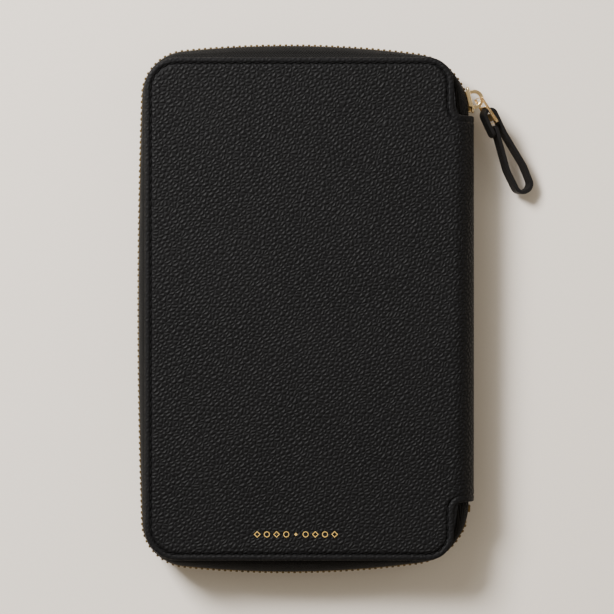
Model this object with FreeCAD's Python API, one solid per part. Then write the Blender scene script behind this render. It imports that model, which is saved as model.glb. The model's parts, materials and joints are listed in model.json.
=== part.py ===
import FreeCAD, Part
import math
import os

# Zip-around travel document organizer, closed and lying on its back cover. Millimetres.
# +Z up from the rest face, +Y along the spine, +X from the free edge towards the spine.
# The origin is the middle of the closed case on the rest face.

Vec = FreeCAD.Vector

# Covers and spine
cover_length = 216.0
cover_width = 132.65
case_thickness = 26.0
spine_bend_radius = 9.2
notch_length = 25.0
free_corner_radius = 14.0
spine_corner_radius = 11.5
hinge_gap = 0.3

# Layers of a cover, from the outside in
leather = 1.0
foam = 0.8
board = 1.4
lining = 0.5
rim_height = 2.6
rim_width = 4.0
foam_inset = 4.3
board_inset = 5.6
lining_inset = 1.5
spine_board = 1.0

# Main zip
tape = 0.6
tape_seam = 5.0
tape_edge_inset = 0.2
tape_root_inset = 0.8
tape_upright = 4.7
tape_edge = 2.2
tape_belly_height = 0.4  # share of the wall's height where it has most of its bulge
tape_belly_share = 0.65
tooth_pitch = 2.5
tooth_length = 1.1
tooth_thickness = 2.4
tooth_reach = 3.4
tooth_hook = 0.5
tooth_slot = 0.7
tooth_head = 2.0
zip_end_overhang = 5.2
zip_end_crown = 6.35
zip_apex_shift = 8.0
zip_side_overhang = 2.65
zip_side_crown = 2.24
free_zip_corner_radius = 19.0
spine_zip_inset = 2.7
zip_lead = 1.2
tape_end_gap = 0.4
stop_length = 1.8
top_stop_low = 1.5  # height from the chain's middle
top_stop_share = 0.3  # of the slider's length, behind its middle
zip_tail_length = 16.0
zip_tail_clearance = 0.2
bottom_stop_length = 3.0

# Main slider
slider_length = 11.5
slider_width = 9.0
slider_plate = 1.0
slider_gap = 1.25
channel_out = 1.4
channel_in = 2.0
slot_out = 0.5
slot_in = 1.15
flange = 0.85
slider_nose = 0.25  # share of its length that narrows
slider_post_half = 1.1
slider_post_inset = 0.6
slider_corner = 1.6
bail_width = 2.0
bail_thickness = 1.0
bail_radius = 4.2
bail_rise = 1.3

# Puller tab and its leather strap
tab_thickness = 1.2
tab_rail = 1.0
tab_head = 1.0
eye_length = 3.4
eye_width = 4.4
crossbar = 0.9
slot_length = 6.3
end_bar = 1.2
strap_width = 4.6
strap_thickness = 1.6
strap_clearance = 0.8
strap_fold_radius = 2.6
strap_bend_radius = 14.0
strap_turn_radius = 3.1
strap_fold_reach = 5.9
strap_tail_end = 6.0
strap_tail_side = -3.0
strap_reach = 34.2
strap_belly = 3.8
strap_taper = 0.6
strap_back_end = 1.8
strap_back_side = 0.4
ring_angle = 48.0
tab_heading = -57.0
strap_heading = -63.8
pull_droop = 12.0
pull_tilt = 20.0

# Inside of the covers
pocket_leather = 0.8
pocket_rise = 0.6
hem = 2.5
pocket_left_margin = 7.0
pocket_end_margin = 10.0
pocket_pen_gap = 5.75
ticket_pocket_margin = 7.65  # from the hinge line
slip_opening_drop = 20.0
card_slots = 4
card_slot_leather = 0.6
card_slot_pitch = 0.7
card_slot_step = 10.0
card_slot_depth = 50.0
card_slot_foot = 4.0
passport_pocket_top = -12.0
thumb_notch_radius = 12.0
pen_diameter = 11.0
pen_loop_leather = 0.9
pen_loop_length = 28.0
pen_loop_from_hinge = 13.5

# Zip of the inside pocket
pocket_zip_y = 20.0
pocket_zip_margin = 8.0  # from each side of the pocket
pocket_zip_tape = 0.4
pocket_zip_tape_width = 8.0
pocket_zip_rise = 1.4
coil_width = 2.0
coil_height = 1.0
coil_gap = 0.1
coil_rounding = 0.4
coil_short = 0.75  # past the slider's middle
stop_gap = 0.2
header_height = 12.0
window_clearance = 0.3
tape_parting = 0.9
pocket_slider_length = 7.5
pocket_slider_width = 6.2
pocket_slider_plate = 0.7
pocket_slider_flange = 0.7
pocket_slider_post = 1.5
slider_play = 0.2
lug_width = 1.2
lug_length = 3.4
lug_height = 1.6
pin_radius = 0.5
pin_clearance = 0.12
pin_rise = 0.2
pocket_tab_length = 8.5
pocket_tab_width = 4.0
pocket_tab_thickness = 0.8
fork_clearance = 0.2
fork_back = 0.1

# Worked out from the sizes above
mid = case_thickness / 2
half_length = cover_length / 2
half_spine = half_length - notch_length
case_width = cover_width + spine_bend_radius + zip_side_overhang + tooth_thickness / 2
left = -case_width / 2 + zip_side_overhang + tooth_thickness / 2
hinge_line = left + cover_width
right = hinge_line - hinge_gap
spine_face = hinge_line + spine_bend_radius
tape_top = rim_height + tape
lining_top = tape_top + lining
pocket_top = lining_top + pocket_rise + pocket_leather


def heading(degrees):
    return Vec(math.cos(math.radians(degrees)), math.sin(math.radians(degrees)), 0)


# A path is a list of pieces that run on from each other:
# ("line", start, end) or ("arc", centre, radius, first angle, last angle), angles in radians.


def line(start, end):
    return ("line", start, end)


def arc(centre, radius, first, last):
    return ("arc", centre, radius, first, last)


def on_circle(centre, radius, angle):
    return centre + Vec(math.cos(angle), math.sin(angle), 0) * radius


def piece_length(piece):
    if piece[0] == "line":
        return (piece[2] - piece[1]).Length
    return piece[2] * abs(piece[4] - piece[3])


def point_and_side(piece, share):
    """The point at a share of the piece's length, and the direction to the right of travel there."""
    if piece[0] == "line":
        along = (piece[2] - piece[1]).normalize()
        return piece[1] + (piece[2] - piece[1]) * share, Vec(along.y, -along.x, 0)
    centre, radius, first, last = piece[1:]
    point = on_circle(centre, radius, first + (last - first) * share)
    outward = (point - centre).normalize()
    return point, outward if last > first else outward * -1


def shifted(path, distance):
    """The path moved to the right of its travel, which is outwards on a path that runs anticlockwise."""
    moved = []
    for piece in path:
        if piece[0] == "line":
            side = point_and_side(piece, 0)[1] * distance
            moved.append(line(piece[1] + side, piece[2] + side))
        else:
            centre, radius, first, last = piece[1:]
            grow = distance if last > first else -distance
            moved.append(arc(centre, radius + grow, first, last))
    return moved


def three_points(path):
    return [[point_and_side(piece, share)[0] for share in (0, 0.5, 1)] for piece in path]


def mixed(a, b, share):
    """Two paths of three-point pieces, blended point by point."""
    return [[p * (1 - share) + q * share for p, q in zip(m, n)] for m, n in zip(a, b)]


def edge(start, middle, end):
    if abs((middle - start).cross(end - start).z) < 1e-6:
        return Part.makeLine(start, end)
    return Part.Arc(start, middle, end).toShape()


def band_wire(inner, outer, z):
    """A closed strip outline between two paths of three-point pieces."""
    up = Vec(0, 0, z)
    edges = [edge(a + up, m + up, b + up) for a, m, b in outer]
    edges.append(Part.makeLine(outer[-1][2] + up, inner[-1][2] + up))
    edges += [edge(b + up, m + up, a + up) for a, m, b in reversed(inner)]
    edges.append(Part.makeLine(inner[0][0] + up, outer[0][0] + up))
    return Part.Wire(edges)


def band(path, inward, outward, low, high):
    """An upright strip that follows the path, from low to high."""
    inner = three_points(shifted(path, -inward))
    outer = three_points(shifted(path, outward))
    return Part.Face(band_wire(inner, outer, low)).extrude(Vec(0, 0, high - low))


def rounded_rectangle(x0, x1, y0, y1, left_radius, right_radius):
    """A closed anticlockwise path."""
    quarter = math.pi / 2
    corners = [
        (Vec(x1 - right_radius, y1 - right_radius, 0), right_radius, 0),
        (Vec(x0 + left_radius, y1 - left_radius, 0), left_radius, quarter),
        (Vec(x0 + left_radius, y0 + left_radius, 0), left_radius, 2 * quarter),
        (Vec(x1 - right_radius, y0 + right_radius, 0), right_radius, 3 * quarter),
    ]
    path = []
    for n, (centre, radius, first) in enumerate(corners):
        following, next_radius, next_first = corners[(n + 1) % 4]
        path.append(arc(centre, radius, first, first + quarter))
        start = on_circle(centre, radius, first + quarter)
        path.append(line(start, on_circle(following, next_radius, next_first)))
    return path


def plate(path, low, high):
    edges = [edge(a, m, b) for a, m, b in three_points(path)]
    face = Part.Face(Part.Wire(edges))
    return face.translated(Vec(0, 0, low)).extrude(Vec(0, 0, high - low))


def box(x0, x1, y0, y1, z0, z1):
    return Part.makeBox(x1 - x0, y1 - y0, z1 - z0, Vec(x0, y0, z0))


def to_front(shape):
    """The same piece on the front cover, mirrored about the middle of the closed case."""
    return shape.mirror(Vec(0, 0, mid), Vec(0, 0, 1))


# Covers


def cover_path(inset):
    x0, x1 = left + inset, right - inset
    y = half_length - inset
    return rounded_rectangle(x0, x1, -y, y, free_corner_radius - inset, spine_corner_radius - inset)


def cover_leather():
    """The outer skin, with a turned edge all round except along the spine."""
    skin = plate(cover_path(0), 0, rim_height)
    skin = skin.cut(plate(cover_path(rim_width), leather, rim_height + 1))
    spine_side = box(right - rim_width - 1, right + 1, -half_spine, half_spine, leather, rim_height + 1)
    return skin.cut(spine_side)


def cover_foam():
    return plate(cover_path(foam_inset), leather, leather + foam)


def cover_board():
    return plate(cover_path(board_inset), leather + foam, leather + foam + board)


def cover_lining():
    return plate(cover_path(lining_inset), tape_top, lining_top)


def spine_layer(outer_radius, thickness):
    """A C-shaped layer that wraps round the spine, from one cover's hinge line to the other's."""
    low = Vec(hinge_line, 0, spine_bend_radius)
    high = Vec(hinge_line, 0, case_thickness - spine_bend_radius)

    def profile(radius):
        slant = radius * math.sqrt(0.5)
        return [
            [low + Vec(0, 0, -radius), low + Vec(slant, 0, -slant), low + Vec(radius, 0, 0)],
            [high + Vec(radius, 0, 0), high + Vec(slant, 0, slant), high + Vec(0, 0, radius)],
        ]

    outer = profile(outer_radius)
    inner = profile(outer_radius - thickness)
    edges = [
        Part.Arc(*outer[0]).toShape(),
        Part.makeLine(outer[0][2], outer[1][0]),
        Part.Arc(*outer[1]).toShape(),
        Part.makeLine(outer[1][2], inner[1][2]),
        Part.Arc(*reversed(inner[1])).toShape(),
        Part.makeLine(inner[1][0], inner[0][2]),
        Part.Arc(*reversed(inner[0])).toShape(),
        Part.makeLine(inner[0][0], outer[0][0]),
    ]
    face = Part.Face(Part.Wire(edges)).translated(Vec(0, -half_spine, 0))
    return face.extrude(Vec(0, 2 * half_spine, 0))


def spine_stiffener():
    x1 = spine_face - leather
    low, high = spine_bend_radius, case_thickness - spine_bend_radius
    return box(x1 - spine_board, x1, -half_spine, half_spine, low, high)


# Main zip: its line runs anticlockwise, from the spine's top end round the free edge to its bottom end


def circles_meet(a, a_radius, b, b_radius):
    """Where two circles cross, on the left of the way from a to b."""
    apart = (b - a).Length
    along = (apart**2 + a_radius**2 - b_radius**2) / (2 * apart)
    across = math.sqrt(a_radius**2 - along**2)
    way = (b - a).normalize()
    return a + way * along + Vec(-way.y, way.x, 0) * across


def bow_radius(half_chord, crown):
    return (half_chord**2 + crown**2) / (2 * crown)


def angle_of(centre, point):
    return math.atan2(point.y - centre.y, point.x - centre.x)


zip_end_radius = bow_radius(case_width / 2, zip_end_crown)
zip_end_centre = Vec(-zip_apex_shift, half_length + zip_end_overhang - zip_end_radius, 0)
zip_side_radius = bow_radius(half_length, zip_side_crown)
zip_side_centre = Vec(left - zip_side_overhang + zip_side_radius, 0, 0)
zip_spine_x = spine_face - spine_zip_inset
zip_corner_y = half_spine + zip_lead
from_apex = Vec(zip_spine_x, zip_corner_y, 0) - zip_end_centre
corner_gap = zip_end_radius**2 - from_apex.x**2 - from_apex.y**2
zip_corner_radius = corner_gap / (2 * (zip_end_radius - from_apex.x))
zip_corner = Vec(zip_spine_x - zip_corner_radius, zip_corner_y, 0)
free_zip_corner = circles_meet(
    zip_end_centre,
    zip_end_radius - free_zip_corner_radius,
    zip_side_centre,
    zip_side_radius - free_zip_corner_radius,
)


def mirrored_back(path):
    """The same pieces for the other end of the case, in the order of travel."""
    other = []
    for piece in reversed(path):
        if piece[0] == "line":
            start, end = piece[1], piece[2]
            other.append(line(Vec(end.x, -end.y, 0), Vec(start.x, -start.y, 0)))
        else:
            centre, radius, first, last = piece[1:]
            other.append(arc(Vec(centre.x, -centre.y, 0), radius, -last, -first))
    return other


def turned_once(piece):
    """The same piece with its angles one turn further on, so that they keep growing along the zip."""
    if piece[0] == "line":
        return piece
    centre, radius, first, last = piece[1:]
    return arc(centre, radius, first + 2 * math.pi, last + 2 * math.pi)


def zip_path():
    turn = angle_of(zip_end_centre, zip_corner)
    leave = angle_of(zip_end_centre, free_zip_corner)
    side = angle_of(free_zip_corner, free_zip_corner * 2 - zip_side_centre)
    end = Vec(zip_spine_x, half_spine + tape_end_gap, 0)
    half = [
        line(end, zip_corner + Vec(zip_corner_radius, 0, 0)),
        arc(zip_corner, zip_corner_radius, 0, turn),
        arc(zip_end_centre, zip_end_radius, turn, leave),
        arc(free_zip_corner, free_zip_corner_radius, leave, side),
    ]
    long_side = arc(zip_side_centre, zip_side_radius, side, 2 * math.pi - side)
    back = [turned_once(piece) for piece in mirrored_back(half)]
    return half + [long_side] + back


def seam_path():
    """The cover's edge where the zip is sewn in, with as many pieces as the zip's line."""
    whole = rounded_rectangle(
        left, hinge_line, -half_length, half_length, free_corner_radius, spine_corner_radius
    )
    end = Vec(hinge_line, half_spine + tape_end_gap, 0)
    first = line(end, Vec(hinge_line, half_length - spine_corner_radius, 0))
    last = line(Vec(hinge_line, spine_corner_radius - half_length, 0), Vec(end.x, -end.y, 0))
    return [first] + whole[:7] + [last]


def zip_tape(first, last):
    """Part of the back cover's tape: sewn flat along the edge, then bellying out and up to the chain."""
    seam = seam_path()[first:last]
    chain = zip_path()[first:last]
    chain_sides = [three_points(shifted(chain, side)) for side in (-tape / 2, tape / 2)]
    edge_sides = [
        three_points(shifted(seam, -tape_root_inset - tape)),
        three_points(shifted(seam, -tape_root_inset)),
    ]
    root = tape_top - tape / 3
    belly = root + (mid - tape_upright - root) * tape_belly_height
    levels = [(root, 0), (belly, tape_belly_share), (mid - tape_upright, 1), (mid - tape_edge, 1)]
    wires = []
    for z, share in levels:
        inner, outer = (mixed(e, c, share) for e, c in zip(edge_sides, chain_sides))
        wires.append(band_wire(inner, outer, z))
    wall = Part.makeLoft(wires, True, True)
    sewn = band(seam, tape_edge_inset + tape_seam, -tape_edge_inset, rim_height, tape_top)
    return sewn.fuse(wall).removeSplitter()


def at_distance(path, distance):
    """The point and outward direction at a distance along a path."""
    for piece in path:
        length = piece_length(piece)
        if distance <= length:
            return point_and_side(piece, distance / length)
        distance -= length
    return point_and_side(path[-1], 1)


def clip(length, low, high):
    """A tooth or stop that grips a tape from inside: length along the chain, heights from its middle.

    It is made at the origin, with the chain along X and outwards along Y.
    """
    half = tooth_thickness / 2
    grip = tooth_slot / 2
    outline = [
        Vec(0, -half, low),
        Vec(0, half, low),
        Vec(0, half, high),
        Vec(0, grip, high),
        Vec(0, grip, tooth_head),
        Vec(0, -grip, tooth_head),
        Vec(0, -grip, high),
        Vec(0, -half, high),
    ]
    face = Part.Face(Part.makePolygon(outline + outline[:1]))
    return face.translated(Vec(-length / 2, 0, 0)).extrude(Vec(length, 0, 0))


def on_chain(shape, distance):
    """A clip moved to its place on the chain, with Y outwards."""
    point, outward = at_distance(zip_path(), distance)
    placed = shape.copy()
    placed.rotate(Vec(), Vec(0, 0, 1), math.degrees(math.atan2(outward.y, outward.x)) - 90)
    placed.translate(point + Vec(0, 0, mid))
    return placed


chain_length = sum(piece_length(piece) for piece in zip_path())
slider_distance = slider_gap + slider_length / 2 - tape_end_gap
bottom_stop_distance = chain_length - bottom_stop_length


def teeth(tooth, first):
    """A row of one tooth, from a distance along the chain to the bottom stop."""
    run = bottom_stop_distance - bottom_stop_length - slider_distance
    places = [first + tooth_pitch * n for n in range(int(run / tooth_pitch))]
    return Part.makeCompound([on_chain(tooth, place) for place in places])


def front_teeth():
    return teeth(clip(tooth_length, -tooth_hook, tooth_reach), slider_distance)


def back_teeth():
    tooth = clip(tooth_length, -tooth_hook, tooth_reach).mirror(Vec(), Vec(0, 0, 1))
    return teeth(tooth, slider_distance + tooth_pitch / 2)


def top_stop():
    """The end stop on the front tape, held by the front of the slider, clear of its post."""
    stop = clip(stop_length, top_stop_low, tooth_reach)
    return on_chain(stop, slider_distance - slider_length * top_stop_share)


def bottom_stop():
    """The block that joins the two tapes at the chain's other end."""
    block = clip(bottom_stop_length, 0, tooth_reach)
    return on_chain(block.fuse(block.mirror(Vec(), Vec(0, 0, 1))).removeSplitter(), bottom_stop_distance)


def zip_tails():
    """The tape ends tucked inside the two ends of the spine, folded flat against its lining."""
    lining_face = spine_face - leather - spine_board - lining
    x1 = lining_face - tape
    y0, y1 = half_spine - zip_tail_length, half_spine - zip_tail_clearance
    reach = tape_upright - zip_tail_clearance
    top = box(x1 - tape, x1, y0, y1, mid - reach, mid + reach)
    return Part.makeCompound([top, top.mirror(Vec(), Vec(0, 1, 0))])


# Main slider, made at the origin with its nose along X and outwards along Y, then set on the chain

slider_place, slider_outward = at_distance(zip_path(), slider_distance)
slider_angle = math.degrees(math.atan2(slider_outward.y, slider_outward.x)) - 90
nose_length = slider_length * slider_nose


def on_slider(shape):
    placed = shape.copy()
    placed.rotate(Vec(), Vec(0, 0, 1), slider_angle)
    placed.translate(slider_place + Vec(0, 0, mid))
    return placed


def slider_plate_solid(y0, y1):
    """A plate with rounded corners and a narrowed nose."""
    half, wide = slider_length / 2, slider_width / 2
    nose = nose_length
    outline = [
        Vec(-half, y0, -wide),
        Vec(half - nose, y0, -wide),
        Vec(half, y0, -wide + nose),
        Vec(half, y0, wide - nose),
        Vec(half - nose, y0, wide),
        Vec(-half, y0, wide),
    ]
    solid = Part.Face(Part.makePolygon(outline + outline[:1])).extrude(Vec(0, y1 - y0, 0))
    upright = [e for e in solid.Edges if abs(e.tangentAt(e.FirstParameter).y) > 0.99]
    return solid.makeFillet(min(slider_corner, nose / 2), upright)


def slider_post():
    """The wedge between the plates that parts the two rows of teeth."""
    tip, shoulder = nose_length / 2, nose_length * 1.1
    end = slider_length / 2 - slider_post_inset
    half = slider_post_half
    outline = [
        Vec(tip, -channel_in, 0),
        Vec(shoulder, -channel_in, half),
        Vec(end, -channel_in, half / 2),
        Vec(end, -channel_in, -half / 2),
        Vec(shoulder, -channel_in, -half),
    ]
    height = channel_in + channel_out
    return Part.Face(Part.makePolygon(outline + outline[:1])).extrude(Vec(0, height, 0))


def slider_body():
    half, wide = slider_length / 2, slider_width / 2
    nose = nose_length
    outer = slider_plate_solid(channel_out, channel_out + slider_plate)
    inner = slider_plate_solid(-channel_in - slider_plate, -channel_in)
    body = outer.fuse(inner)
    for side in (-1, 1):
        z0, z1 = sorted((side * (wide - flange), side * wide))
        x0, x1 = -half + slider_corner, half - nose
        body = body.fuse(box(x0, x1, slot_out, channel_out, z0, z1))
        body = body.fuse(box(x0, x1, -channel_in, -slot_in, z0, z1))
    body = body.fuse(slider_post())
    return on_slider(body.removeSplitter())


plate_face = channel_out + slider_plate
ring_centre = Vec(0, plate_face + bail_rise, 0)
ring_middle = bail_radius - bail_thickness / 2


def slider_bail():
    """The arch that the puller tab hangs on."""
    along_z = Vec(0, 0, 1)
    foot = ring_centre - Vec(0, 0, bail_width / 2)
    ring = Part.makeCylinder(bail_radius, bail_width, foot, along_z)
    ring = ring.cut(Part.makeCylinder(bail_radius - bail_thickness, bail_width, foot, along_z))
    reach = bail_radius + 1
    below = box(-reach, reach, -reach, plate_face, -bail_width, bail_width)
    return on_slider(ring.cut(below))


# Puller tab and strap, made flat with their length along X and their width along Z

eye_angle = slider_angle + ring_angle
ring_global = slider_place + heading(slider_angle + 90) * (plate_face + bail_rise) + Vec(0, 0, mid)
eye = ring_global + heading(eye_angle) * ring_middle
tab_reach = eye_length / 2 + crossbar + slot_length + end_bar / 2


def hung(shape, direction, point):
    """A flat piece tilted about its length, drooping, and turned to its direction."""
    placed = shape.copy()
    placed.rotate(Vec(), Vec(1, 0, 0), -pull_tilt)
    placed.rotate(Vec(), Vec(0, 1, 0), pull_droop)
    placed.rotate(Vec(), Vec(0, 0, 1), direction)
    placed.translate(point)
    return placed


def tab_outline(y):
    slot_half = strap_width / 2 + strap_clearance
    end_half = slot_half + tab_rail
    head_half = eye_width / 2 + tab_rail
    x0 = -eye_length / 2 - tab_head
    x1 = tab_reach + end_bar / 2
    return [Vec(x0, y, -head_half), Vec(x1, y, -end_half), Vec(x1, y, end_half), Vec(x0, y, head_half)]


def puller_tab():
    half = tab_thickness / 2
    outline = tab_outline(-half)
    tab = Part.Face(Part.makePolygon(outline + outline[:1])).extrude(Vec(0, tab_thickness, 0))
    corners = [e for e in tab.Edges if abs(e.tangentAt(e.FirstParameter).y) > 0.99]
    tab = tab.makeFillet(tab_rail, corners)
    slot_half = strap_width / 2 + strap_clearance
    eye_half = eye_length / 2
    slot_start = eye_half + crossbar
    tab = tab.cut(box(-eye_half, eye_half, -half - 1, half + 1, -eye_width / 2, eye_width / 2))
    slot = box(slot_start, slot_start + slot_length, -half - 1, half + 1, -slot_half, slot_half)
    return hung(tab.cut(slot), tab_heading, eye)


end_bar_place = hung(Part.Vertex(Vec(tab_reach, 0, 0)), tab_heading, eye).Point


def path_through(points):
    """Straight runs between (x, y, bend radius) points, joined by tangent arcs at the inner ones."""
    path = []
    start = Vec(points[0][0], points[0][1], 0)
    for n in range(1, len(points) - 1):
        corner = Vec(points[n][0], points[n][1], 0)
        following = Vec(points[n + 1][0], points[n + 1][1], 0)
        arriving = (corner - Vec(points[n - 1][0], points[n - 1][1], 0)).normalize()
        leaving = (following - corner).normalize()
        turn = math.atan2(arriving.cross(leaving).z, arriving.dot(leaving))
        radius = points[n][2]
        cut = radius * math.tan(abs(turn) / 2)
        begin = corner - arriving * cut
        side = 1 if turn > 0 else -1
        centre = begin + Vec(-arriving.y, arriving.x, 0) * radius * side
        first = angle_of(centre, begin)
        if (begin - start).Length > 1e-6:
            path.append(line(start, begin))
        path.append(arc(centre, radius, first, first + turn))
        start = corner + leaving * cut
    path.append(line(start, Vec(points[-1][0], points[-1][1], 0)))
    return path


def strap_path():
    """One strap: its short tail, the fold through the tab's slot, and the loop back to the fold."""
    loop_side = strap_tail_side + 2 * strap_fold_radius
    near, middle, far = strap_reach * 0.19, strap_reach * 0.68, strap_reach
    return path_through([
        (strap_tail_end, strap_tail_side, 0),
        (-strap_fold_reach, strap_tail_side, strap_fold_radius),
        (-strap_fold_reach, loop_side, strap_fold_radius),
        (near, loop_side, strap_bend_radius),
        (middle, strap_belly, strap_bend_radius),
        (far, strap_belly - strap_taper, strap_turn_radius),
        (far - strap_taper, strap_taper - strap_belly - 0.4, strap_turn_radius),
        (middle - 1.3, -strap_belly, strap_bend_radius),
        (strap_back_end, -strap_back_side, 0),
    ])


def pull_strap():
    half = strap_thickness / 2
    strap = band(strap_path(), half, half, -strap_width / 2, strap_width / 2)
    return hung(strap, strap_heading, end_bar_place)


# Pockets on the inside of the covers

pocket_left = left + pocket_left_margin
pen_x = hinge_line - pen_loop_from_hinge
pocket_right = pen_x - pen_diameter / 2 - pen_loop_leather - pocket_pen_gap
pocket_bottom = -half_length + pocket_end_margin
pocket_high = half_length - slip_opening_drop


def patch_pocket(x1, y1, base, rise, sheet):
    """A panel sewn down along three sides, open along its top edge y1."""
    panel = box(pocket_left, x1, pocket_bottom, y1, base, base + rise + sheet)
    room = box(pocket_left + hem, x1 - hem, pocket_bottom + hem, y1 + 1, base - 1, base + rise)
    return panel.cut(room)


def boarding_pass_pocket():
    return patch_pocket(pocket_right, pocket_high, lining_top, pocket_rise, pocket_leather)


def ticket_pocket():
    x1 = hinge_line - ticket_pocket_margin
    return to_front(patch_pocket(x1, pocket_high, lining_top, pocket_rise, pocket_leather))


def card_slot(number):
    """One of the stepped slots, each set further from the cover and lower than the one behind it."""
    base = pocket_top + card_slot_pitch * number
    y1 = card_slot_foot + card_slot_depth + card_slot_step * (card_slots - 1 - number)
    y0 = card_slot_foot
    slot = box(pocket_left + 1, pocket_right - 1, y0, y1, base, base + card_slot_leather)
    return to_front(slot)


def passport_pocket():
    y1 = passport_pocket_top
    pocket = patch_pocket(pocket_right - 1, y1, pocket_top, pocket_rise, pocket_leather)
    middle = (pocket_left + pocket_right) / 2
    notch = Part.makeCylinder(thumb_notch_radius, 10, Vec(middle, y1, pocket_top - 1))
    return to_front(pocket.cut(notch))


def pen_loop():
    inner = pen_diameter / 2
    outer = inner + pen_loop_leather
    x = pen_x
    y0 = -pen_loop_length / 2
    centre = Vec(x, y0, lining_top + outer)
    along_y = Vec(0, 1, 0)
    loop = Part.makeCylinder(outer, pen_loop_length, centre, along_y)
    foot = box(x - inner, x + inner, y0, -y0, lining_top, lining_top + pen_loop_leather)
    bore = Part.makeCylinder(inner, pen_loop_length, centre, along_y)
    return loop.fuse(foot).cut(bore).removeSplitter()


# Zip pocket inside the back cover, with its zip along X

zip_floor = pocket_top + pocket_zip_rise - pocket_zip_tape
zip_sheet = pocket_top + pocket_zip_rise
zip_x0 = pocket_left + pocket_zip_margin
zip_x1 = pocket_right - pocket_zip_margin
window_half = pocket_slider_width / 2 + window_clearance


def zip_pocket_panel():
    y1 = pocket_zip_y - window_half
    return patch_pocket(pocket_right, y1, pocket_top, pocket_zip_rise, pocket_leather)


def zip_pocket_header():
    """The strip above the zip, sewn down along its top edge."""
    y0 = pocket_zip_y + window_half
    y1 = y0 + header_height
    strip = box(pocket_left, pocket_right, y0, y1, pocket_top, zip_sheet + pocket_leather)
    room = box(pocket_left + hem, pocket_right - hem, y0 - 1, y1 - hem, pocket_top - 1, zip_sheet)
    return strip.cut(room)


def zip_pocket_tapes():
    y0, y1 = pocket_zip_y + tape_parting, pocket_zip_y + pocket_zip_tape_width
    upper = box(zip_x0, zip_x1, y0, y1, zip_floor, zip_sheet)
    lower = upper.mirror(Vec(0, pocket_zip_y, 0), Vec(0, 1, 0))
    return Part.makeCompound([upper, lower])


pocket_slider_x = zip_x1 - pocket_slider_length
coil_end = pocket_slider_x - coil_short


def zip_pocket_coils():
    """The two rows of coil, meshed from the bottom stop to the middle of the slider."""
    inner = coil_gap / 2
    upper = box(
        zip_x0 + stop_length, coil_end, pocket_zip_y + inner, pocket_zip_y + inner + coil_width,
        zip_sheet, zip_sheet + coil_height,
    )
    long_edges = [e for e in upper.Edges if e.Length > 2 * coil_width]
    rounded = [e for e in long_edges if e.BoundBox.ZMin > zip_sheet + coil_height / 2]
    upper = upper.makeFillet(coil_rounding, rounded)
    lower = upper.mirror(Vec(0, pocket_zip_y, 0), Vec(0, 1, 0))
    return Part.makeCompound([upper, lower])


def zip_pocket_stops():
    half = coil_width + coil_gap
    y0, y1 = pocket_zip_y - half, pocket_zip_y + half
    z0, z1 = zip_sheet, zip_sheet + coil_height
    bottom = box(zip_x0, zip_x0 + stop_length - stop_gap, y0, y1, z0, z1)
    x0 = pocket_slider_x + pocket_slider_length / 2 + stop_gap
    upper = box(x0, x0 + stop_length, pocket_zip_y + coil_gap, y1, z0, z1)
    lower = upper.mirror(Vec(0, pocket_zip_y, 0), Vec(0, 1, 0))
    return Part.makeCompound([bottom, upper, lower])


top_plate_low = zip_sheet + coil_height + slider_play
top_plate_high = top_plate_low + pocket_slider_plate
pin_height = top_plate_high + pin_radius + pin_clearance + pin_rise


def pocket_slider_lug():
    """The lug on the slider's top plate, with the hole that the puller's pin turns in."""
    x0, x1 = pocket_slider_x - lug_length / 2, pocket_slider_x + lug_length / 2
    y0, y1 = pocket_zip_y - lug_width / 2, pocket_zip_y + lug_width / 2
    lug = box(x0, x1, y0, y1, top_plate_high, top_plate_high + lug_height)
    start = Vec(pocket_slider_x, y0 - 1, pin_height)
    hole = Part.makeCylinder(pin_radius + pin_clearance, lug_width + 2, start, Vec(0, 1, 0))
    return lug.cut(hole)


def pocket_slider():
    x0 = pocket_slider_x - pocket_slider_length / 2
    x1 = x0 + pocket_slider_length
    wide = pocket_slider_width / 2
    y0, y1 = pocket_zip_y - wide, pocket_zip_y + wide
    low = zip_floor - slider_play - pocket_slider_plate
    body = box(x0, x1, y0, y1, low, low + pocket_slider_plate)
    body = body.fuse(box(x0, x1, y0, y1, top_plate_low, top_plate_high))
    flange_low = zip_sheet + slider_play
    for side in (y0, y1 - pocket_slider_flange):
        flange_end = side + pocket_slider_flange
        body = body.fuse(box(x0, x1, side, flange_end, flange_low, top_plate_high))
    post_half = tape_parting - slider_play
    y0, y1 = pocket_zip_y - post_half, pocket_zip_y + post_half
    body = body.fuse(box(x1 - pocket_slider_post, x1, y0, y1, low, top_plate_high))
    return body.fuse(pocket_slider_lug()).removeSplitter()


def pocket_puller():
    """A tab whose fork straddles the slider's lug, with a pin through the lug's hole."""
    half = pocket_tab_width / 2
    thick = pocket_tab_thickness / 2
    arm_in = lug_width / 2 + fork_clearance
    x0 = pocket_slider_x - pin_radius - fork_back
    x1 = pocket_slider_x + pocket_tab_length
    y0, y1 = pocket_zip_y - half, pocket_zip_y + half
    tab = box(x0, x1, y0, y1, pin_height - thick, pin_height + thick)
    reach = math.hypot(lug_length / 2, lug_height) + fork_clearance
    gap_end = pocket_slider_x + reach
    arm_y0, arm_y1 = pocket_zip_y - arm_in, pocket_zip_y + arm_in
    gap = box(x0 - 1, gap_end, arm_y0, arm_y1, 0, case_thickness)
    pin_start = Vec(pocket_slider_x, y0, pin_height)
    pin = Part.makeCylinder(pin_radius, 2 * half, pin_start, Vec(0, 1, 0))
    return tab.cut(gap).fuse(pin).removeSplitter()


def save(name, shape):
    shape.exportStep("parts/" + name + ".step")


os.makedirs("parts", exist_ok=True)

layers = {
    "cover_leather": cover_leather(),
    "cover_foam": cover_foam(),
    "cover_board": cover_board(),
    "cover_lining": cover_lining(),
}
for name, shape in layers.items():
    save("back_" + name, shape)
    save("front_" + name, to_front(shape))

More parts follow.
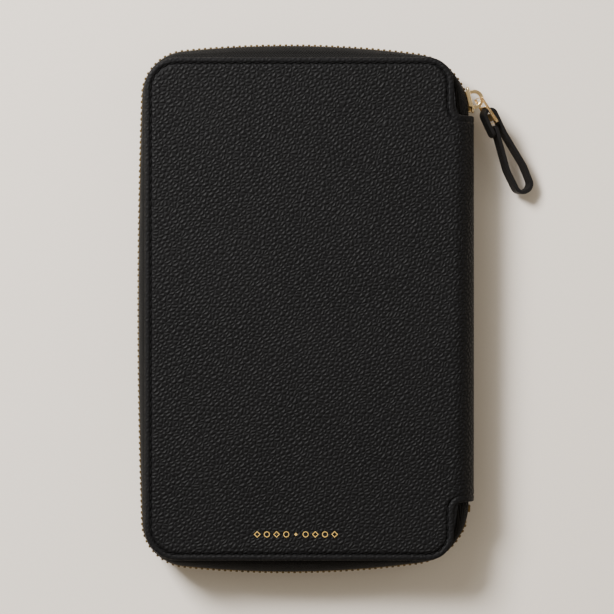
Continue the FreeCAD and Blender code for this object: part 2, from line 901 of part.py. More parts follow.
save("spine_leather", spine_layer(spine_bend_radius, leather))
save("spine_board", spine_stiffener())
save("spine_lining", spine_layer(spine_bend_radius - leather - spine_board, lining))
save("zip_tails", zip_tails())

save("back_zip_tape", zip_tape(0, 9))
save("front_zip_tape", to_front(zip_tape(2, 7)))
save("front_zip_tape_top_corner", to_front(zip_tape(0, 2)))
save("front_zip_tape_bottom_corner", to_front(zip_tape(7, 9)))
save("front_zip_teeth", front_teeth())
save("back_zip_teeth", back_teeth())
save("front_top_stop", top_stop())
save("back_top_stop", to_front(top_stop()))
save("zip_bottom_stop", bottom_stop())

save("slider_body", slider_body())
save("slider_bail", slider_bail())
save("puller_tab", puller_tab())
save("pull_strap", pull_strap())

save("boarding_pass_pocket", boarding_pass_pocket())
save("zip_pocket_panel", zip_pocket_panel())
save("zip_pocket_header", zip_pocket_header())
save("zip_pocket_tapes", zip_pocket_tapes())
save("zip_pocket_coils", zip_pocket_coils())
save("zip_pocket_stops", zip_pocket_stops())
save("pocket_slider", pocket_slider())
save("pocket_puller", pocket_puller())
save("pen_loop", pen_loop())

save("ticket_pocket", ticket_pocket())
save("passport_pocket", passport_pocket())
for number in range(card_slots):
    save("card_slot_" + str(number + 1), card_slot(number))
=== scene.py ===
import bmesh
import bpy
import json
import math
from mathutils import Matrix, Vector, noise
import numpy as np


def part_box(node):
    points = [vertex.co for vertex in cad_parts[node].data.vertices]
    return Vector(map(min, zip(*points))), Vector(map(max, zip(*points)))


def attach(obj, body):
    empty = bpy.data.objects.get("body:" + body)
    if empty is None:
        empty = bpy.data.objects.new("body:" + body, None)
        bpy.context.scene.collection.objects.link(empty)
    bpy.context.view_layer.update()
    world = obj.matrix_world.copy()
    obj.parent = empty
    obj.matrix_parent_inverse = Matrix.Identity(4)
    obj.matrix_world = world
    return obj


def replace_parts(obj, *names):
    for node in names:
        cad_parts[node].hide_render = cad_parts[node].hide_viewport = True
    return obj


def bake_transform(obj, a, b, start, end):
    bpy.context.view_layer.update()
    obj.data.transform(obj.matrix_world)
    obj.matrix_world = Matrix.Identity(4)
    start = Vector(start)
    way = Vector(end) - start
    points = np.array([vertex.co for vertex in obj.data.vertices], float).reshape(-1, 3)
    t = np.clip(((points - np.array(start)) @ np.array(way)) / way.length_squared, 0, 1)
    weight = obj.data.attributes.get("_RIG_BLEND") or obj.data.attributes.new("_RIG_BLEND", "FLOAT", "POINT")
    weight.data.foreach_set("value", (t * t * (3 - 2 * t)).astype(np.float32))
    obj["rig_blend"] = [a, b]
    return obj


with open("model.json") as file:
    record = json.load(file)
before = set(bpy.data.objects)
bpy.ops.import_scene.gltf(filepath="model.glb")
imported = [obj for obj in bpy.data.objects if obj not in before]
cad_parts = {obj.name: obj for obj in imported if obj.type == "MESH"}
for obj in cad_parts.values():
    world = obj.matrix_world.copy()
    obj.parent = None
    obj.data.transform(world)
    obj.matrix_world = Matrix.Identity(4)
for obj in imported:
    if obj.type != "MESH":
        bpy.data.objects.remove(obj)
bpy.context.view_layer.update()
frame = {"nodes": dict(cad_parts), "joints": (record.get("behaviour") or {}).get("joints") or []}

mm = 0.001
joints = {j["name"]: j for j in frame["joints"]}
coverLow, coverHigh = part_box("front_cover_leather")
spineLow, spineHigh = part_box("spine_leather")

# the case as a whole, from the CAD boxes
left = coverLow.x
hingeLine = spineLow.x
spineFace = spineHigh.x
halfLength = coverHigh.y
halfSpine = spineHigh.y
caseTop = coverHigh.z
mid = caseTop / 2
bendRadius = spineFace - hingeLine
flatHalf = mid - bendRadius
bendLength = bendRadius * math.pi / 2
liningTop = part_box("back_cover_lining")[1].z

# camera, lights, floor

studio = dict(
    cameraHeight=1.113, aimX=0.65 * mm, aimY=0.75 * mm, lens=148.7,
    floorColor=(0.88, 0.81, 0.725), speckleColor=(0.5, 0.47, 0.43), floorSize=6.0, floorDrop=-0.2 * mm,
    # place, size, power and colour of each light
    lights=dict(
        keyLight=((-0.88, 0.92, 1.10), 0.5, 57.0, (1.0, 0.985, 0.97)),
        fillLight=((1.3, 0.2, 1.2), 1.2, 2.5, (1.0, 0.97, 0.93)),
        topLight=((-0.95, 1.25, 1.45), 1.1, 17.0, (1.0, 0.99, 0.98))),
    worldColor=(1.0, 0.88, 0.70), worldStrength=0.36,
)


def addObject(name, data, place=(0, 0, 0)):
    made = bpy.data.objects.new(name, data)
    made.location = place
    bpy.context.scene.collection.objects.link(made)
    return made


def addAreaLight(name, place, size, power, color):
    data = bpy.data.lights.new(name, "AREA")
    data.shape = "SQUARE"
    data.size = size
    data.energy = power
    data.color = color
    light = addObject(name, data, place)
    light.rotation_euler = (-Vector(place)).to_track_quat("-Z", "Y").to_euler()


def addCamera():
    data = bpy.data.cameras.new("camera")
    data.type = "PERSP"
    data.lens = studio["lens"]
    data.sensor_width = 36
    data.clip_end = 20
    place = (studio["aimX"], studio["aimY"], studio["cameraHeight"])
    bpy.context.scene.camera = addObject("camera", data, place)


def setInputs(tree, node, values):
    # Each value is a number, a tuple or another node's socket
    for key, value in values.items():
        if isinstance(value, bpy.types.NodeSocket):
            tree.links.new(value, node.inputs[key])
        else:
            node.inputs[key].default_value = value


def addNode(tree, kind, inputs=None, **settings):
    made = tree.nodes.new(kind)
    for key, value in settings.items():
        setattr(made, key, value)
    setInputs(tree, made, inputs or {})
    return made


def newMaterial(name, **sockets):
    mat = bpy.data.materials.new(name)
    mat.use_nodes = True
    tree = mat.node_tree
    shader = tree.nodes["Principled BSDF"]
    setInputs(tree, shader, sockets)
    return mat, tree, shader


def noiseTexture(tree, place, scale, detail):
    return addNode(tree, "ShaderNodeTexNoise", {"Vector": place, "Scale": scale, "Detail": detail})


def mathNode(tree, operation, a, b=0.0, c=0.0):
    return addNode(tree, "ShaderNodeMath", {0: a, 1: b, 2: c}, operation=operation).outputs[0]


def mapRange(tree, value, low, high, newLow=0.0, newHigh=1.0, smooth=False):
    kind = "SMOOTHSTEP" if smooth else "LINEAR"
    sockets = {"Value": value, "From Min": low, "From Max": high, "To Min": newLow, "To Max": newHigh}
    return addNode(tree, "ShaderNodeMapRange", sockets, interpolation_type=kind).outputs["Result"]


def mixColor(tree, share, a, b):
    a, b = [(*end, 1.0) if isinstance(end, tuple) else end for end in (a, b)]
    return addNode(tree, "ShaderNodeMix", {0: share, 6: a, 7: b}, data_type="RGBA").outputs[2]


def grainPlace(tree):
    return addNode(tree, "ShaderNodeAttribute", attribute_name="grainPlace").outputs["Vector"]


def addBump(tree, shader, height, depth, strength=1.0):
    bump = addNode(tree, "ShaderNodeBump", {"Height": height, "Distance": depth, "Strength": strength})
    tree.links.new(bump.outputs["Normal"], shader.inputs["Normal"])


def addFloor():
    bm = bmesh.new()
    bmesh.ops.create_grid(bm, x_segments=1, y_segments=1, size=studio["floorSize"] / 2)
    mesh = bpy.data.meshes.new("floor")
    bm.to_mesh(mesh)
    bm.free()
    floor = addObject("floor", mesh, (0, 0, studio["floorDrop"]))
    mat, tree, shader = newMaterial("floorPaint", Roughness=0.85)
    place = addNode(tree, "ShaderNodeTexCoord").outputs["Object"]
    speckle = noiseTexture(tree, place, 900.0, 3.0)
    share = mapRange(tree, speckle.outputs["Fac"], 0.3, 0.7, 0.0, 0.05)
    color = mixColor(tree, share, studio["floorColor"], studio["speckleColor"])
    setInputs(tree, shader, {"Base Color": color})
    mesh.materials.append(mat)


def addWorld():
    world = bpy.data.worlds.new("studio")
    world.use_nodes = True
    background = world.node_tree.nodes["Background"]
    background.inputs["Color"].default_value = (*studio["worldColor"], 1.0)
    background.inputs["Strength"].default_value = studio["worldStrength"]
    bpy.context.scene.world = world


addCamera()
for name, light in studio["lights"].items():
    addAreaLight(name, *light)
addFloor()
addWorld()
print("studio ready")

# materials


def pebbledLeather(name, look):
    mat, tree, shader = newMaterial(name)
    place = grainPlace(tree)
    drift = noiseTexture(tree, place, 160.0, 2.0)
    push = addNode(tree, "ShaderNodeVectorMath", {0: drift.outputs["Color"], 1: (0.5, 0.5, 0.5)},
        operation="SUBTRACT")
    push = addNode(tree, "ShaderNodeVectorMath", {0: push.outputs[0], "Scale": look["pebble"] * 0.9},
        operation="SCALE")
    warped = addNode(tree, "ShaderNodeVectorMath", {0: place, 1: push.outputs[0]}, operation="ADD")
    turned = addNode(tree, "ShaderNodeVectorRotate",
        {"Vector": warped.outputs[0], "Angle": -look["turn"]}, rotation_type="Z_AXIS")
    squeezed = addNode(tree, "ShaderNodeMapping",
        {"Vector": turned.outputs[0], "Scale": (1.0, look["stretch"], 1.0)})
    sockets = {"Vector": squeezed.outputs[0], "Scale": 1.0 / look["pebble"],
        "Randomness": look["random"]}
    edges = addNode(tree, "ShaderNodeTexVoronoi", sockets, feature="DISTANCE_TO_EDGE",
        voronoi_dimensions="2D")
    dome = mapRange(tree, edges.outputs["Distance"], 0.0, look["domeWidth"], smooth=True)
    cells = addNode(tree, "ShaderNodeTexVoronoi", sockets, feature="F1", voronoi_dimensions="2D")
    fine = noiseTexture(tree, place, 2600.0, 4.0)
    lift = mapRange(tree, cells.outputs["Color"], 0.0, 1.0, 0.75, 1.0)
    height = mathNode(tree, "MULTIPLY", dome, lift)
    height = mathNode(tree, "MULTIPLY_ADD", fine.outputs["Fac"], look["fine"], height)
    if "calm" in look:
        height = mathNode(tree, "MULTIPLY", height,
            addNode(tree, "ShaderNodeAttribute", attribute_name=look["calm"]).outputs["Fac"])
    addBump(tree, shader, height, look["depth"], 1.0)
    broad = noiseTexture(tree, place, 28.0, 3.0)
    worn = mapRange(tree, broad.outputs["Fac"], 0.35, 0.7)
    # painted shade and highlight: the valley colour darkens the hollows between pebbles, the top colour
    # lightens the pebbles' tops, mixed by their height
    color = mixColor(tree, dome, look["valley"], look["top"])
    color = mixColor(tree, mathNode(tree, "MULTIPLY", worn, 0.35), color, look["worn"])
    rough = mapRange(tree, dome, 0.0, 1.0, look["roughValley"], look["roughTop"])
    rough = mathNode(tree, "MULTIPLY_ADD", broad.outputs["Fac"], 0.10, rough)
    setInputs(tree, shader,
        {"Base Color": color, "Roughness": rough, "Specular IOR Level": look["specular"]})
    return mat


def wovenFabric(name, look):
    # Plain weave from two crossed sets of threads; its colour is painted shade, darker where the threads
    # dip, with tone that differs at random
    mat, tree, shader = newMaterial(name)
    place = grainPlace(tree)
    split = addNode(tree, "ShaderNodeSeparateXYZ", {0: place})
    across = mathNode(tree, "MULTIPLY", split.outputs[0], math.pi / look["thread"])
    along = mathNode(tree, "MULTIPLY", split.outputs[1], math.pi / look["thread"])
    warp = mathNode(tree, "ABSOLUTE", mathNode(tree, "SINE", across))
    weft = mathNode(tree, "ABSOLUTE", mathNode(tree, "SINE", along))
    over = mathNode(tree, "MULTIPLY", mathNode(tree, "SINE", mathNode(tree, "MULTIPLY", across, 0.5)),
        mathNode(tree, "SINE", mathNode(tree, "MULTIPLY", along, 0.5)))
    over = mapRange(tree, over, -0.2, 0.2, smooth=True)
    height = addNode(tree, "ShaderNodeMix", {0: over, 2: warp, 3: weft}, data_type="FLOAT").outputs[0]
    fuzz = noiseTexture(tree, place, 1800.0, 3.0)
    height = mathNode(tree, "MULTIPLY_ADD", fuzz.outputs["Fac"], 0.3, height)
    addBump(tree, shader, height, look["depth"], 0.8)
    broad = noiseTexture(tree, place, 60.0, 2.0)
    # colour share: painted shade from the weave's height, darker between threads, plus random tone from the
    # broad noise
    share = mathNode(tree, "MULTIPLY_ADD", broad.outputs["Fac"], 0.3,
        mathNode(tree, "MULTIPLY", height, 0.6))
    color = mixColor(tree, share, look["dark"], look["light"])
    setInputs(tree, shader, {"Base Color": color, "Roughness": look["rough"], "Specular IOR Level": 0.2,
        "Sheen Weight": 0.05, "Sheen Roughness": 0.5})
    return mat


def herringboneTape(name, look):
    mat, tree, shader = newMaterial(name)
    place = grainPlace(tree)
    split = addNode(tree, "ShaderNodeSeparateXYZ", {0: place})
    zigzag = mathNode(tree, "PINGPONG", split.outputs[1], look["row"])
    slanted = mathNode(tree, "ADD", split.outputs[0], mathNode(tree, "MULTIPLY", zigzag, 1.1))
    wave = mathNode(tree, "SINE", mathNode(tree, "MULTIPLY", slanted, 2 * math.pi / look["pitch"]))
    rib = mapRange(tree, wave, -0.7, 0.8, smooth=True)
    rowEdge = mathNode(tree, "ABSOLUTE", mathNode(tree, "SUBTRACT", zigzag, look["row"] / 2))
    groove = mapRange(tree, rowEdge, look["row"] * 0.5, look["row"] * 0.4, 0.35, 1.0)
    height = mathNode(tree, "MULTIPLY", rib, groove)
    fuzz = noiseTexture(tree, place, 3000.0, 2.0)
    height = mathNode(tree, "MULTIPLY_ADD", fuzz.outputs["Fac"], 0.25, height)
    addBump(tree, shader, height, look["depth"], 1.0)
    # painted highlight: the rib crests take the lighter colour and the furrows between them the darker one
    color = mixColor(tree, rib, look["dark"], look["light"])
    setInputs(tree, shader, {"Base Color": color, "Roughness": 0.8, "Specular IOR Level": 0.16,
        "Sheen Weight": 0.02, "Sheen Roughness": 0.45})
    return mat


def polishedMetal(name, look):
    mat, tree, shader = newMaterial(name, Metallic=1.0)
    place = grainPlace(tree)
    broad = noiseTexture(tree, place, 420.0, 3.0)
    brushed = addNode(tree, "ShaderNodeMapping", {"Vector": place, "Scale": (1.0, 14.0, 1.0)})
    scratches = noiseTexture(tree, brushed.outputs[0], 900.0, 4.0)
    share = mapRange(tree, broad.outputs["Fac"], 0.35, 0.75)
    color = mixColor(tree, share, look["color"], look["dull"])
    rough = mapRange(tree, scratches.outputs["Fac"], 0.3, 0.7, look["rough"], look["rough"] + 0.14)
    setInputs(tree, shader, {"Base Color": color, "Roughness": rough})
    addBump(tree, shader, scratches.outputs["Fac"], 0.02 * mm, 0.5)
    return mat


def plainFinish(name, look):
    # Board, foam, nylon, thread and edge paint: one colour broken up by noise
    mat, tree, shader = newMaterial(name)
    if look.get("rides", True):
        place = grainPlace(tree)
    else:
        place = addNode(tree, "ShaderNodeTexCoord").outputs["Object"]
    grain = noiseTexture(tree, place, look["scale"], 4.0)
    share = mapRange(tree, grain.outputs["Fac"], 0.3, 0.7)
    color = mixColor(tree, share, look["dark"], look["light"])
    rough = mapRange(tree, share, 0.0, 1.0, look["rough"], look["rough"] + 0.12)
    addBump(tree, shader, grain.outputs["Fac"], look["depth"], 0.6)
    setInputs(tree, shader,
        {"Base Color": color, "Roughness": rough, "Specular IOR Level": look.get("specular", 0.5)})
    return mat


def twistedThread(name, look):
    mat, tree, shader = newMaterial(name)
    place = grainPlace(tree)
    split = addNode(tree, "ShaderNodeSeparateXYZ", {0: place})
    slanted = mathNode(tree, "ADD", split.outputs[0], split.outputs[1])
    wave = mathNode(tree, "SINE", mathNode(tree, "MULTIPLY", slanted, 2 * math.pi / look["twist"]))
    addBump(tree, shader, wave, 0.05 * mm, 0.8)
    # painted highlight: the raised side of each twist takes the lighter colour, the hollow between twists
    # the darker one
    share = mapRange(tree, wave, -1.0, 1.0)
    color = mixColor(tree, share, look["dark"], look["light"])
    setInputs(tree, shader,
        {"Base Color": color, "Roughness": 0.6, "Specular IOR Level": 0.12, "Sheen Weight": 0.02})
    return mat


# In the leathers below the valley colour is painted shade in the hollows and the top colour a painted
# highlight on the pebbles
shellLeather = pebbledLeather("shellLeather", dict(
    pebble=2.15 * mm, stretch=1.25, turn=math.radians(36), random=0.8, domeWidth=0.48, fine=0.10,
    depth=0.30 * mm, calm="pebbling",
    valley=(0.0034, 0.0034, 0.0038), top=(0.0050, 0.0050, 0.0056), worn=(0.0070, 0.0068, 0.0074),
    roughTop=0.44, roughValley=0.62, specular=0.13))
pocketLeather = pebbledLeather("pocketLeather", dict(
    pebble=0.95 * mm, stretch=1.2, turn=0.5, random=0.8, domeWidth=0.42, fine=0.2, depth=0.22 * mm,
    valley=(0.004, 0.004, 0.0045), top=(0.0075, 0.0073, 0.0080), worn=(0.010, 0.0097, 0.0103),
    roughTop=0.44, roughValley=0.6, specular=0.22))
strapLeather = pebbledLeather("strapLeather", dict(
    pebble=0.5 * mm, stretch=1.0, turn=0.0, random=0.9, domeWidth=0.4, fine=0.3, depth=0.05 * mm,
    valley=(0.003, 0.0029, 0.003), top=(0.005, 0.0048, 0.005), worn=(0.007, 0.0067, 0.007),
    roughTop=0.4, roughValley=0.5, specular=0.24))
edgePaint = plainFinish("edgePaint",
    dict(dark=(0.004, 0.0036, 0.0042), light=(0.0075, 0.007, 0.0078), scale=700.0, rough=0.36,
    specular=0.24, depth=0.03 * mm))
liningFabric = wovenFabric("liningFabric",
    dict(thread=0.42 * mm, depth=0.12 * mm, dark=(0.010, 0.0098, 0.0098), light=(0.042, 0.040, 0.039),
    rough=0.9))
penElastic = wovenFabric("penElastic",
    dict(thread=0.7 * mm, depth=0.25 * mm, dark=(0.007, 0.007, 0.008), light=(0.026, 0.026, 0.028),
    rough=0.8))
coilTape = wovenFabric("coilTape",
    dict(thread=0.35 * mm, depth=0.1 * mm, dark=(0.008, 0.008, 0.009), light=(0.03, 0.03, 0.032),
    rough=0.8))
zipTape = herringboneTape("zipTape",
    dict(row=1.5 * mm, pitch=1.15 * mm, depth=0.30 * mm, dark=(0.0010, 0.0010, 0.0011),
    light=(0.0048, 0.0046, 0.0044)))
# The teeth's gold is darkened far below the slider's gold: painted shade on teeth seen edge-on between tape
# and leather
toothBrass = polishedMetal("toothBrass",
    dict(color=(0.22, 0.15, 0.055), dull=(0.07, 0.05, 0.02), rough=0.33))
paleGold = polishedMetal("paleGold",
    dict(color=(0.95, 0.76, 0.46), dull=(0.86, 0.66, 0.37), rough=0.14))
# A darker copy of the pale gold: painted shade for the tab's recessed web
recessGold = polishedMetal("recessGold",
    dict(color=(0.76, 0.54, 0.25), dull=(0.58, 0.40, 0.18), rough=0.36))
foilGold = polishedMetal("foilGold", dict(color=(1.0, 0.72, 0.24), dull=(0.86, 0.58, 0.18), rough=0.52))
greyThread = twistedThread("greyThread",
    dict(twist=0.5 * mm, dark=(0.030, 0.029, 0.028), light=(0.085, 0.082, 0.078)))
blackThread = twistedThread("blackThread",
    dict(twist=0.55 * mm, dark=(0.0012, 0.0012, 0.0013), light=(0.0035, 0.0035, 0.0037)))
coilNylon = plainFinish("coilNylon",
    dict(dark=(0.012, 0.012, 0.013), light=(0.022, 0.022, 0.024), scale=500.0, rough=0.36,
    depth=0.02 * mm))
greyBoard = plainFinish("greyBoard",
    dict(dark=(0.24, 0.22, 0.19), light=(0.38, 0.36, 0.32), scale=420.0, rough=0.85, depth=0.1 * mm,
    rides=False))
print("materials ready")

# shared modelling helpers

level = 1e-9  # an edge that rises less than this lies flat


def grainLayer(bm):
    layers = bm.verts.layers.float_vector
    return layers.get("grainPlace") or layers.new("grainPlace")


def keepGrain(bm):
    layer = grainLayer(bm)
    for v in bm.verts:
        v[layer] = v.co


def addPiece(name, bm, *mats, keepPlace=False, crease=35):
    # A finished mesh as an object at the origin, with the place that its grain is read at
    if not keepPlace:
        keepGrain(bm)
    mesh = bpy.data.meshes.new(name)
    bm.to_mesh(mesh)
    bm.free()
    for mat in mats:
        mesh.materials.append(mat)
    mesh.shade_smooth()
    mesh.set_sharp_from_angle(angle=math.radians(crease))
    return addObject(name, mesh)


def settle(made, body, slotName, *nodes):
    if body:
        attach(made, body)
    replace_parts(made, *nodes)


def roundOff(bm, geom, offset, segments, affect="EDGES"):
    bmesh.ops.bevel(bm, geom=geom, offset=offset, segments=segments, profile=0.5,
                    affect=affect, material=-1, clamp_overlap=True)


def cut(bm, place, normal, within, **more):
    bmesh.ops.bisect_plane(bm, geom=bm.verts[:] + bm.edges[:] + bm.faces[:], dist=within,
        plane_co=place, plane_no=normal, **more)


def thicken(bm, way):
    grown = bmesh.ops.extrude_face_region(bm, geom=bm.faces[:])
    bmesh.ops.translate(bm, verts=[v for v in grown["geom"] if isinstance(v, bmesh.types.BMVert)],
        vec=way)
    faceOut(bm)


def rise(edge, axis):
    # How far an edge runs along an axis: 0, 1 or 2 for x, y or z
    return abs(edge.verts[0].co[axis] - edge.verts[1].co[axis])


def faceOut(bm):
    bmesh.ops.recalc_face_normals(bm, faces=bm.faces[:])


def addSolidify(made, thickness, offset=0.0, rim=0):
    mod = made.modifiers.new("thickness", "SOLIDIFY")
    mod.thickness = thickness
    mod.offset = offset
    mod.use_even_offset = True
    mod.material_offset_rim = rim


def addBevel(made, width, segments=2, angle=40):
    mod = made.modifiers.new("rounding", "BEVEL")
    mod.width = width
    mod.segments = segments
    mod.limit_method = "ANGLE"
    mod.angle_limit = math.radians(angle)
    mod.use_clamp_overlap = True


def roundCorners(bm, rounding):
    # Bevels the corners of a flat face: rounding is a list of (corner, radius)
    for corner, radius in rounding:
        found = min(bm.verts, key=lambda v: (v.co - corner).length)
        segments = max(4, int(radius / (0.9 * mm)))
        roundOff(bm, [found], radius, segments, "VERTICES")


def slab(bm, corners, z0, z1, rounding=0.25 * mm, supported=True):
    # A plate from (x, y, corner radius) points, with its long edges rounded
    part = bmesh.new()
    part.faces.new([part.verts.new((x, y, z0)) for x, y, r in corners])
    roundCorners(part, [(Vector((x, y, z0)), r) for x, y, r in corners if r > 0])
    thicken(part, (0, 0, z1 - z0))
    rims = [e for e in part.edges if rise(e, 2) < level and len(e.link_faces) == 2
            and abs(e.link_faces[0].normal.z - e.link_faces[1].normal.z) > 0.5]
    roundOff(part, rims, rounding, 3)
    flats = [f for f in part.faces if abs(f.normal.z) > 0.999 and f.calc_area() > 4 * mm * mm]
    for face in flats if supported else []:
        bmesh.ops.inset_region(part, faces=[face], thickness=min(rounding, 0.2 * mm),
            use_even_offset=True, use_boundary=True)
    addInto(bm, part)


def panel(bm, sides, radii, *heights):
    # sides are x0, x1, y0, y1; radii is one number or four, from x0, y0 round to x0, y1
    x0, x1, y0, y1 = sides
    a, b, c, d = radii if isinstance(radii, tuple) else [radii] * 4
    slab(bm, [(x0, y0, a), (x1, y0, b), (x1, y1, c), (x0, y1, d)], *heights)


def addInto(bm, part, matrix=None):
    if matrix is not None:
        bmesh.ops.transform(part, matrix=matrix, verts=part.verts[:])
    mesh = bpy.data.meshes.new("part")
    part.to_mesh(mesh)
    part.free()
    bm.from_mesh(mesh)
    bpy.data.meshes.remove(mesh)


def stamp(bm, mesh, matrix):
    # Adds one more copy of a small mesh
    before = len(bm.verts)
    bm.from_mesh(mesh)
    bm.verts.ensure_lookup_table()
    bmesh.ops.transform(bm, matrix=matrix, verts=bm.verts[before:])


def roundedBox(x0, x1, y0, y1, z0, z1, rounding, segments=2):
    part = bmesh.new()
    size = Matrix.Diagonal((x1 - x0, y1 - y0, z1 - z0, 1))
    bmesh.ops.create_cube(part, size=1.0,
        matrix=Matrix.Translation(((x0 + x1) / 2, (y0 + y1) / 2, (z0 + z1) / 2)) @ size)
    roundOff(part, part.edges[:], rounding, segments)
    return part


def addBox(bm, *box):
    addInto(bm, roundedBox(*box))


def asMesh(part):
    mesh = bpy.data.meshes.new("stampMesh")
    part.to_mesh(mesh)
    part.free()
    return mesh


def line(start, end):
    return ("line", Vector(start), Vector(end))


def arc(centre, radius, first, last):
    return ("arc", Vector(centre), radius, first, last)


def alongPiece(piece, t):
    # Place and outward direction at a share of a path piece; the case lies on the left of the way
    if piece[0] == "line":
        way = (piece[2] - piece[1]).normalized()
        return piece[1].lerp(piece[2], t), Vector((way.y, -way.x))
    centre, radius, first, last = piece[1:]
    angle = first + (last - first) * t
    spoke = Vector((math.cos(angle), math.sin(angle)))
    return centre + spoke * radius, spoke if last > first else -spoke


def pieceLength(piece):
    if piece[0] == "line":
        return (piece[2] - piece[1]).length
    return abs(piece[4] - piece[3]) * piece[2]


def alongPath(path, distance):
    for piece in path:
        length = pieceLength(piece)
        if distance <= length:
            return alongPiece(piece, distance / length)
        distance -= length
    return alongPiece(path[-1], 1.0)


def toFront(bm):
    # Turns a piece made for the back cover over onto the front cover
    bmesh.ops.transform(bm, matrix=Matrix.Translation((0, 0, 2 * mid)) @ Matrix.Diagonal((1, 1, -1, 1)),
        verts=bm.verts[:])
    bmesh.ops.reverse_faces(bm, faces=bm.faces[:])
    return bm


# leather skin: one sheet round front, spine and back

skin = dict(
    freeCorner=14.0 * mm, spineCorner=11.5 * mm, notchFillet=3.5 * mm,
    # distance in from the edge, depth under the surface
    rings=[(0.0, 1.15), (0.14, 0.62), (0.4, 0.27), (0.85, 0.12), (1.5, 0.10), (2.1, 0.16), (2.45, 0.50),
           (2.7, 0.72), (2.95, 0.50), (3.35, 0.12), (4.3, 0.02), (6.0, 0.0)],
    underRings=[(0.0, 1.9), (0.12, 2.35), (0.45, 2.6), (4.0, 2.6)],
    # the leather thins to spineShare over the ease before the hinge line
    spineShare=0.385, ease=1.4 * mm, gridStep=7.5 * mm, ripple=0.14 * mm, calmShare=0.4,
)


def unrolled(x, y, depth, side):
    # The place of a point of the flat sheet: side is 1 on the front half and -1 on the back half
    beyond = x - hingeLine
    if beyond <= 0:
        return Vector((x, y, mid + side * (mid - depth)))
    reach = bendRadius - depth
    if beyond < bendLength:
        angle = beyond / bendRadius
        return Vector((hingeLine + reach * math.sin(angle), y,
            mid + side * (flatHalf + reach * math.cos(angle))))
    return Vector((spineFace - depth, y, mid + side * (flatHalf - (beyond - bendLength))))


def skinFace(bm):
    # The flat outline with its corners rounded; it runs on past the middle of the spine
    past = hingeLine + bendLength + flatHalf + 12 * mm
    corners = [
        (left, -halfLength), (hingeLine, -halfLength), (hingeLine, -halfSpine), (past, -halfSpine),
        (past, halfSpine), (hingeLine, halfSpine), (hingeLine, halfLength), (left, halfLength)]
    bm.faces.new([bm.verts.new((x, y, 0)) for x, y in corners])
    for x, radius in ((left, skin["freeCorner"]), (hingeLine, skin["spineCorner"])):
        roundCorners(bm, [(Vector((x, s * halfLength, 0)), radius) for s in (-1, 1)])
    roundCorners(bm, [(Vector((hingeLine, s * halfSpine, 0)), skin["notchFillet"]) for s in (-1, 1)])


def ringed(rings):
    # A flat plate with a ring of edges at each distance in from its outline, and its depths on a layer
    bm = bmesh.new()
    skinFace(bm)
    bm.normal_update()
    layer = bm.verts.layers.float.new("depth")
    pebbling = bm.verts.layers.float.new("pebbling")
    bm.faces.ensure_lookup_table()
    centre = bm.faces[0]
    for v in centre.verts:
        v[layer], v[pebbling] = rings[0][1] * mm, skin["calmShare"]
    for before, ring in zip(rings, rings[1:]):
        bmesh.ops.inset_region(bm, faces=[centre], thickness=(ring[0] - before[0]) * mm,
            use_even_offset=True, use_boundary=True)
        for v in centre.verts:
            v[layer] = ring[1] * mm
            v[pebbling] = min(1.0, max(skin["calmShare"], (ring[0] - 2.7) / 0.8))
    return bm


def cutAcross(bm, axis, places):
    for place in places:
        point = Vector((place, 0, 0)) if axis == "x" else Vector((0, place, 0))
        normal = Vector((1, 0, 0)) if axis == "x" else Vector((0, 1, 0))
        cut(bm, point, normal, 0.002 * mm)


def skinHalf(name, side):
    top, under = ringed(skin["rings"]), ringed(skin["underRings"])
    bmesh.ops.reverse_faces(under, faces=under.faces[:])
    gridX = [left + skin["gridStep"] * n for n in range(1, int((hingeLine - left) / skin["gridStep"]))]
    gridY = [skin["gridStep"] * n for n in range(-13, 14)]
    bends = [hingeLine + bendLength * n / 14 for n in range(15)]
    spineMiddle = hingeLine + bendLength + flatHalf
    ease = skin["ease"]
    gridX += [hingeLine - ease, hingeLine - ease / 2] + bends + [spineMiddle - 2 * mm]
    for plate in (top, under):
        cutAcross(plate, "x", gridX)
        cutAcross(plate, "y", gridY)
        cut(plate, (spineMiddle, 0, 0), (1, 0, 0), 0.002 * mm, clear_outer=True)
    addInto(top, under)
    bm = top
    layer = bm.verts.layers.float.get("depth")
    rims = [e for e in bm.edges if e.is_boundary]
    bmesh.ops.bridge_loops(bm, edges=rims)
    grain = grainLayer(bm)
    for v in bm.verts:
        x, y, depth = v.co.x, v.co.y, v[layer]
        share = min(1.0, max(0.0, (x - hingeLine + ease) / ease))
        depth *= 1 + (skin["spineShare"] - 1) * share
        if v[layer] < 0.001 * mm:
            wave = noise.noise(Vector((x, y, side * 0.1)) * 34)
            wave += 0.5 * noise.noise(Vector((x, y, 3 + side)) * 80)
            depth += skin["ripple"] * max(0.0, min(1.0, 0.5 + 0.6 * wave))
        v[grain] = Vector((x, y + (0 if side > 0 else 0.5), depth))
        v.co = unrolled(x, y, depth, side)
    faceOut(bm)
    bm.verts.layers.float.remove(layer)
    return addPiece(name, bm, shellLeather, keepPlace=True, crease=50)


frontSkin = skinHalf("frontSkin", 1)
backSkin = skinHalf("backSkin", -1)
for made, body, side in ((frontSkin, "front_cover", 1), (backSkin, "back_cover", -1)):
    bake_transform(made, body, "spine", (hingeLine, 0, mid + side * mid),
        (spineFace, 0, mid + side * flatHalf))
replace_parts(frontSkin, "front_cover_leather", "front_cover_foam", "spine_leather")
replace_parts(backSkin, "back_cover_leather", "back_cover_foam")
print("leather skin ready")

# the main zip's lines: the cover's edge and the chain, piece for piece

zipLine = dict(
    endOverhang=5.2 * mm, endCrown=6.35 * mm, apexShift=8 * mm,
    sideOverhang=2.65 * mm, sideCrown=2.24 * mm, freeCorner=19 * mm,
    spineInset=2.7 * mm, endGap=0.4 * mm, blendFrom=0.058,
    pitch=2.5 * mm, sliderDistance=6.6 * mm, bottomStop=3 * mm,
)


def bowRadius(halfChord, crown):
    return (halfChord ** 2 + crown ** 2) / (2 * crown)


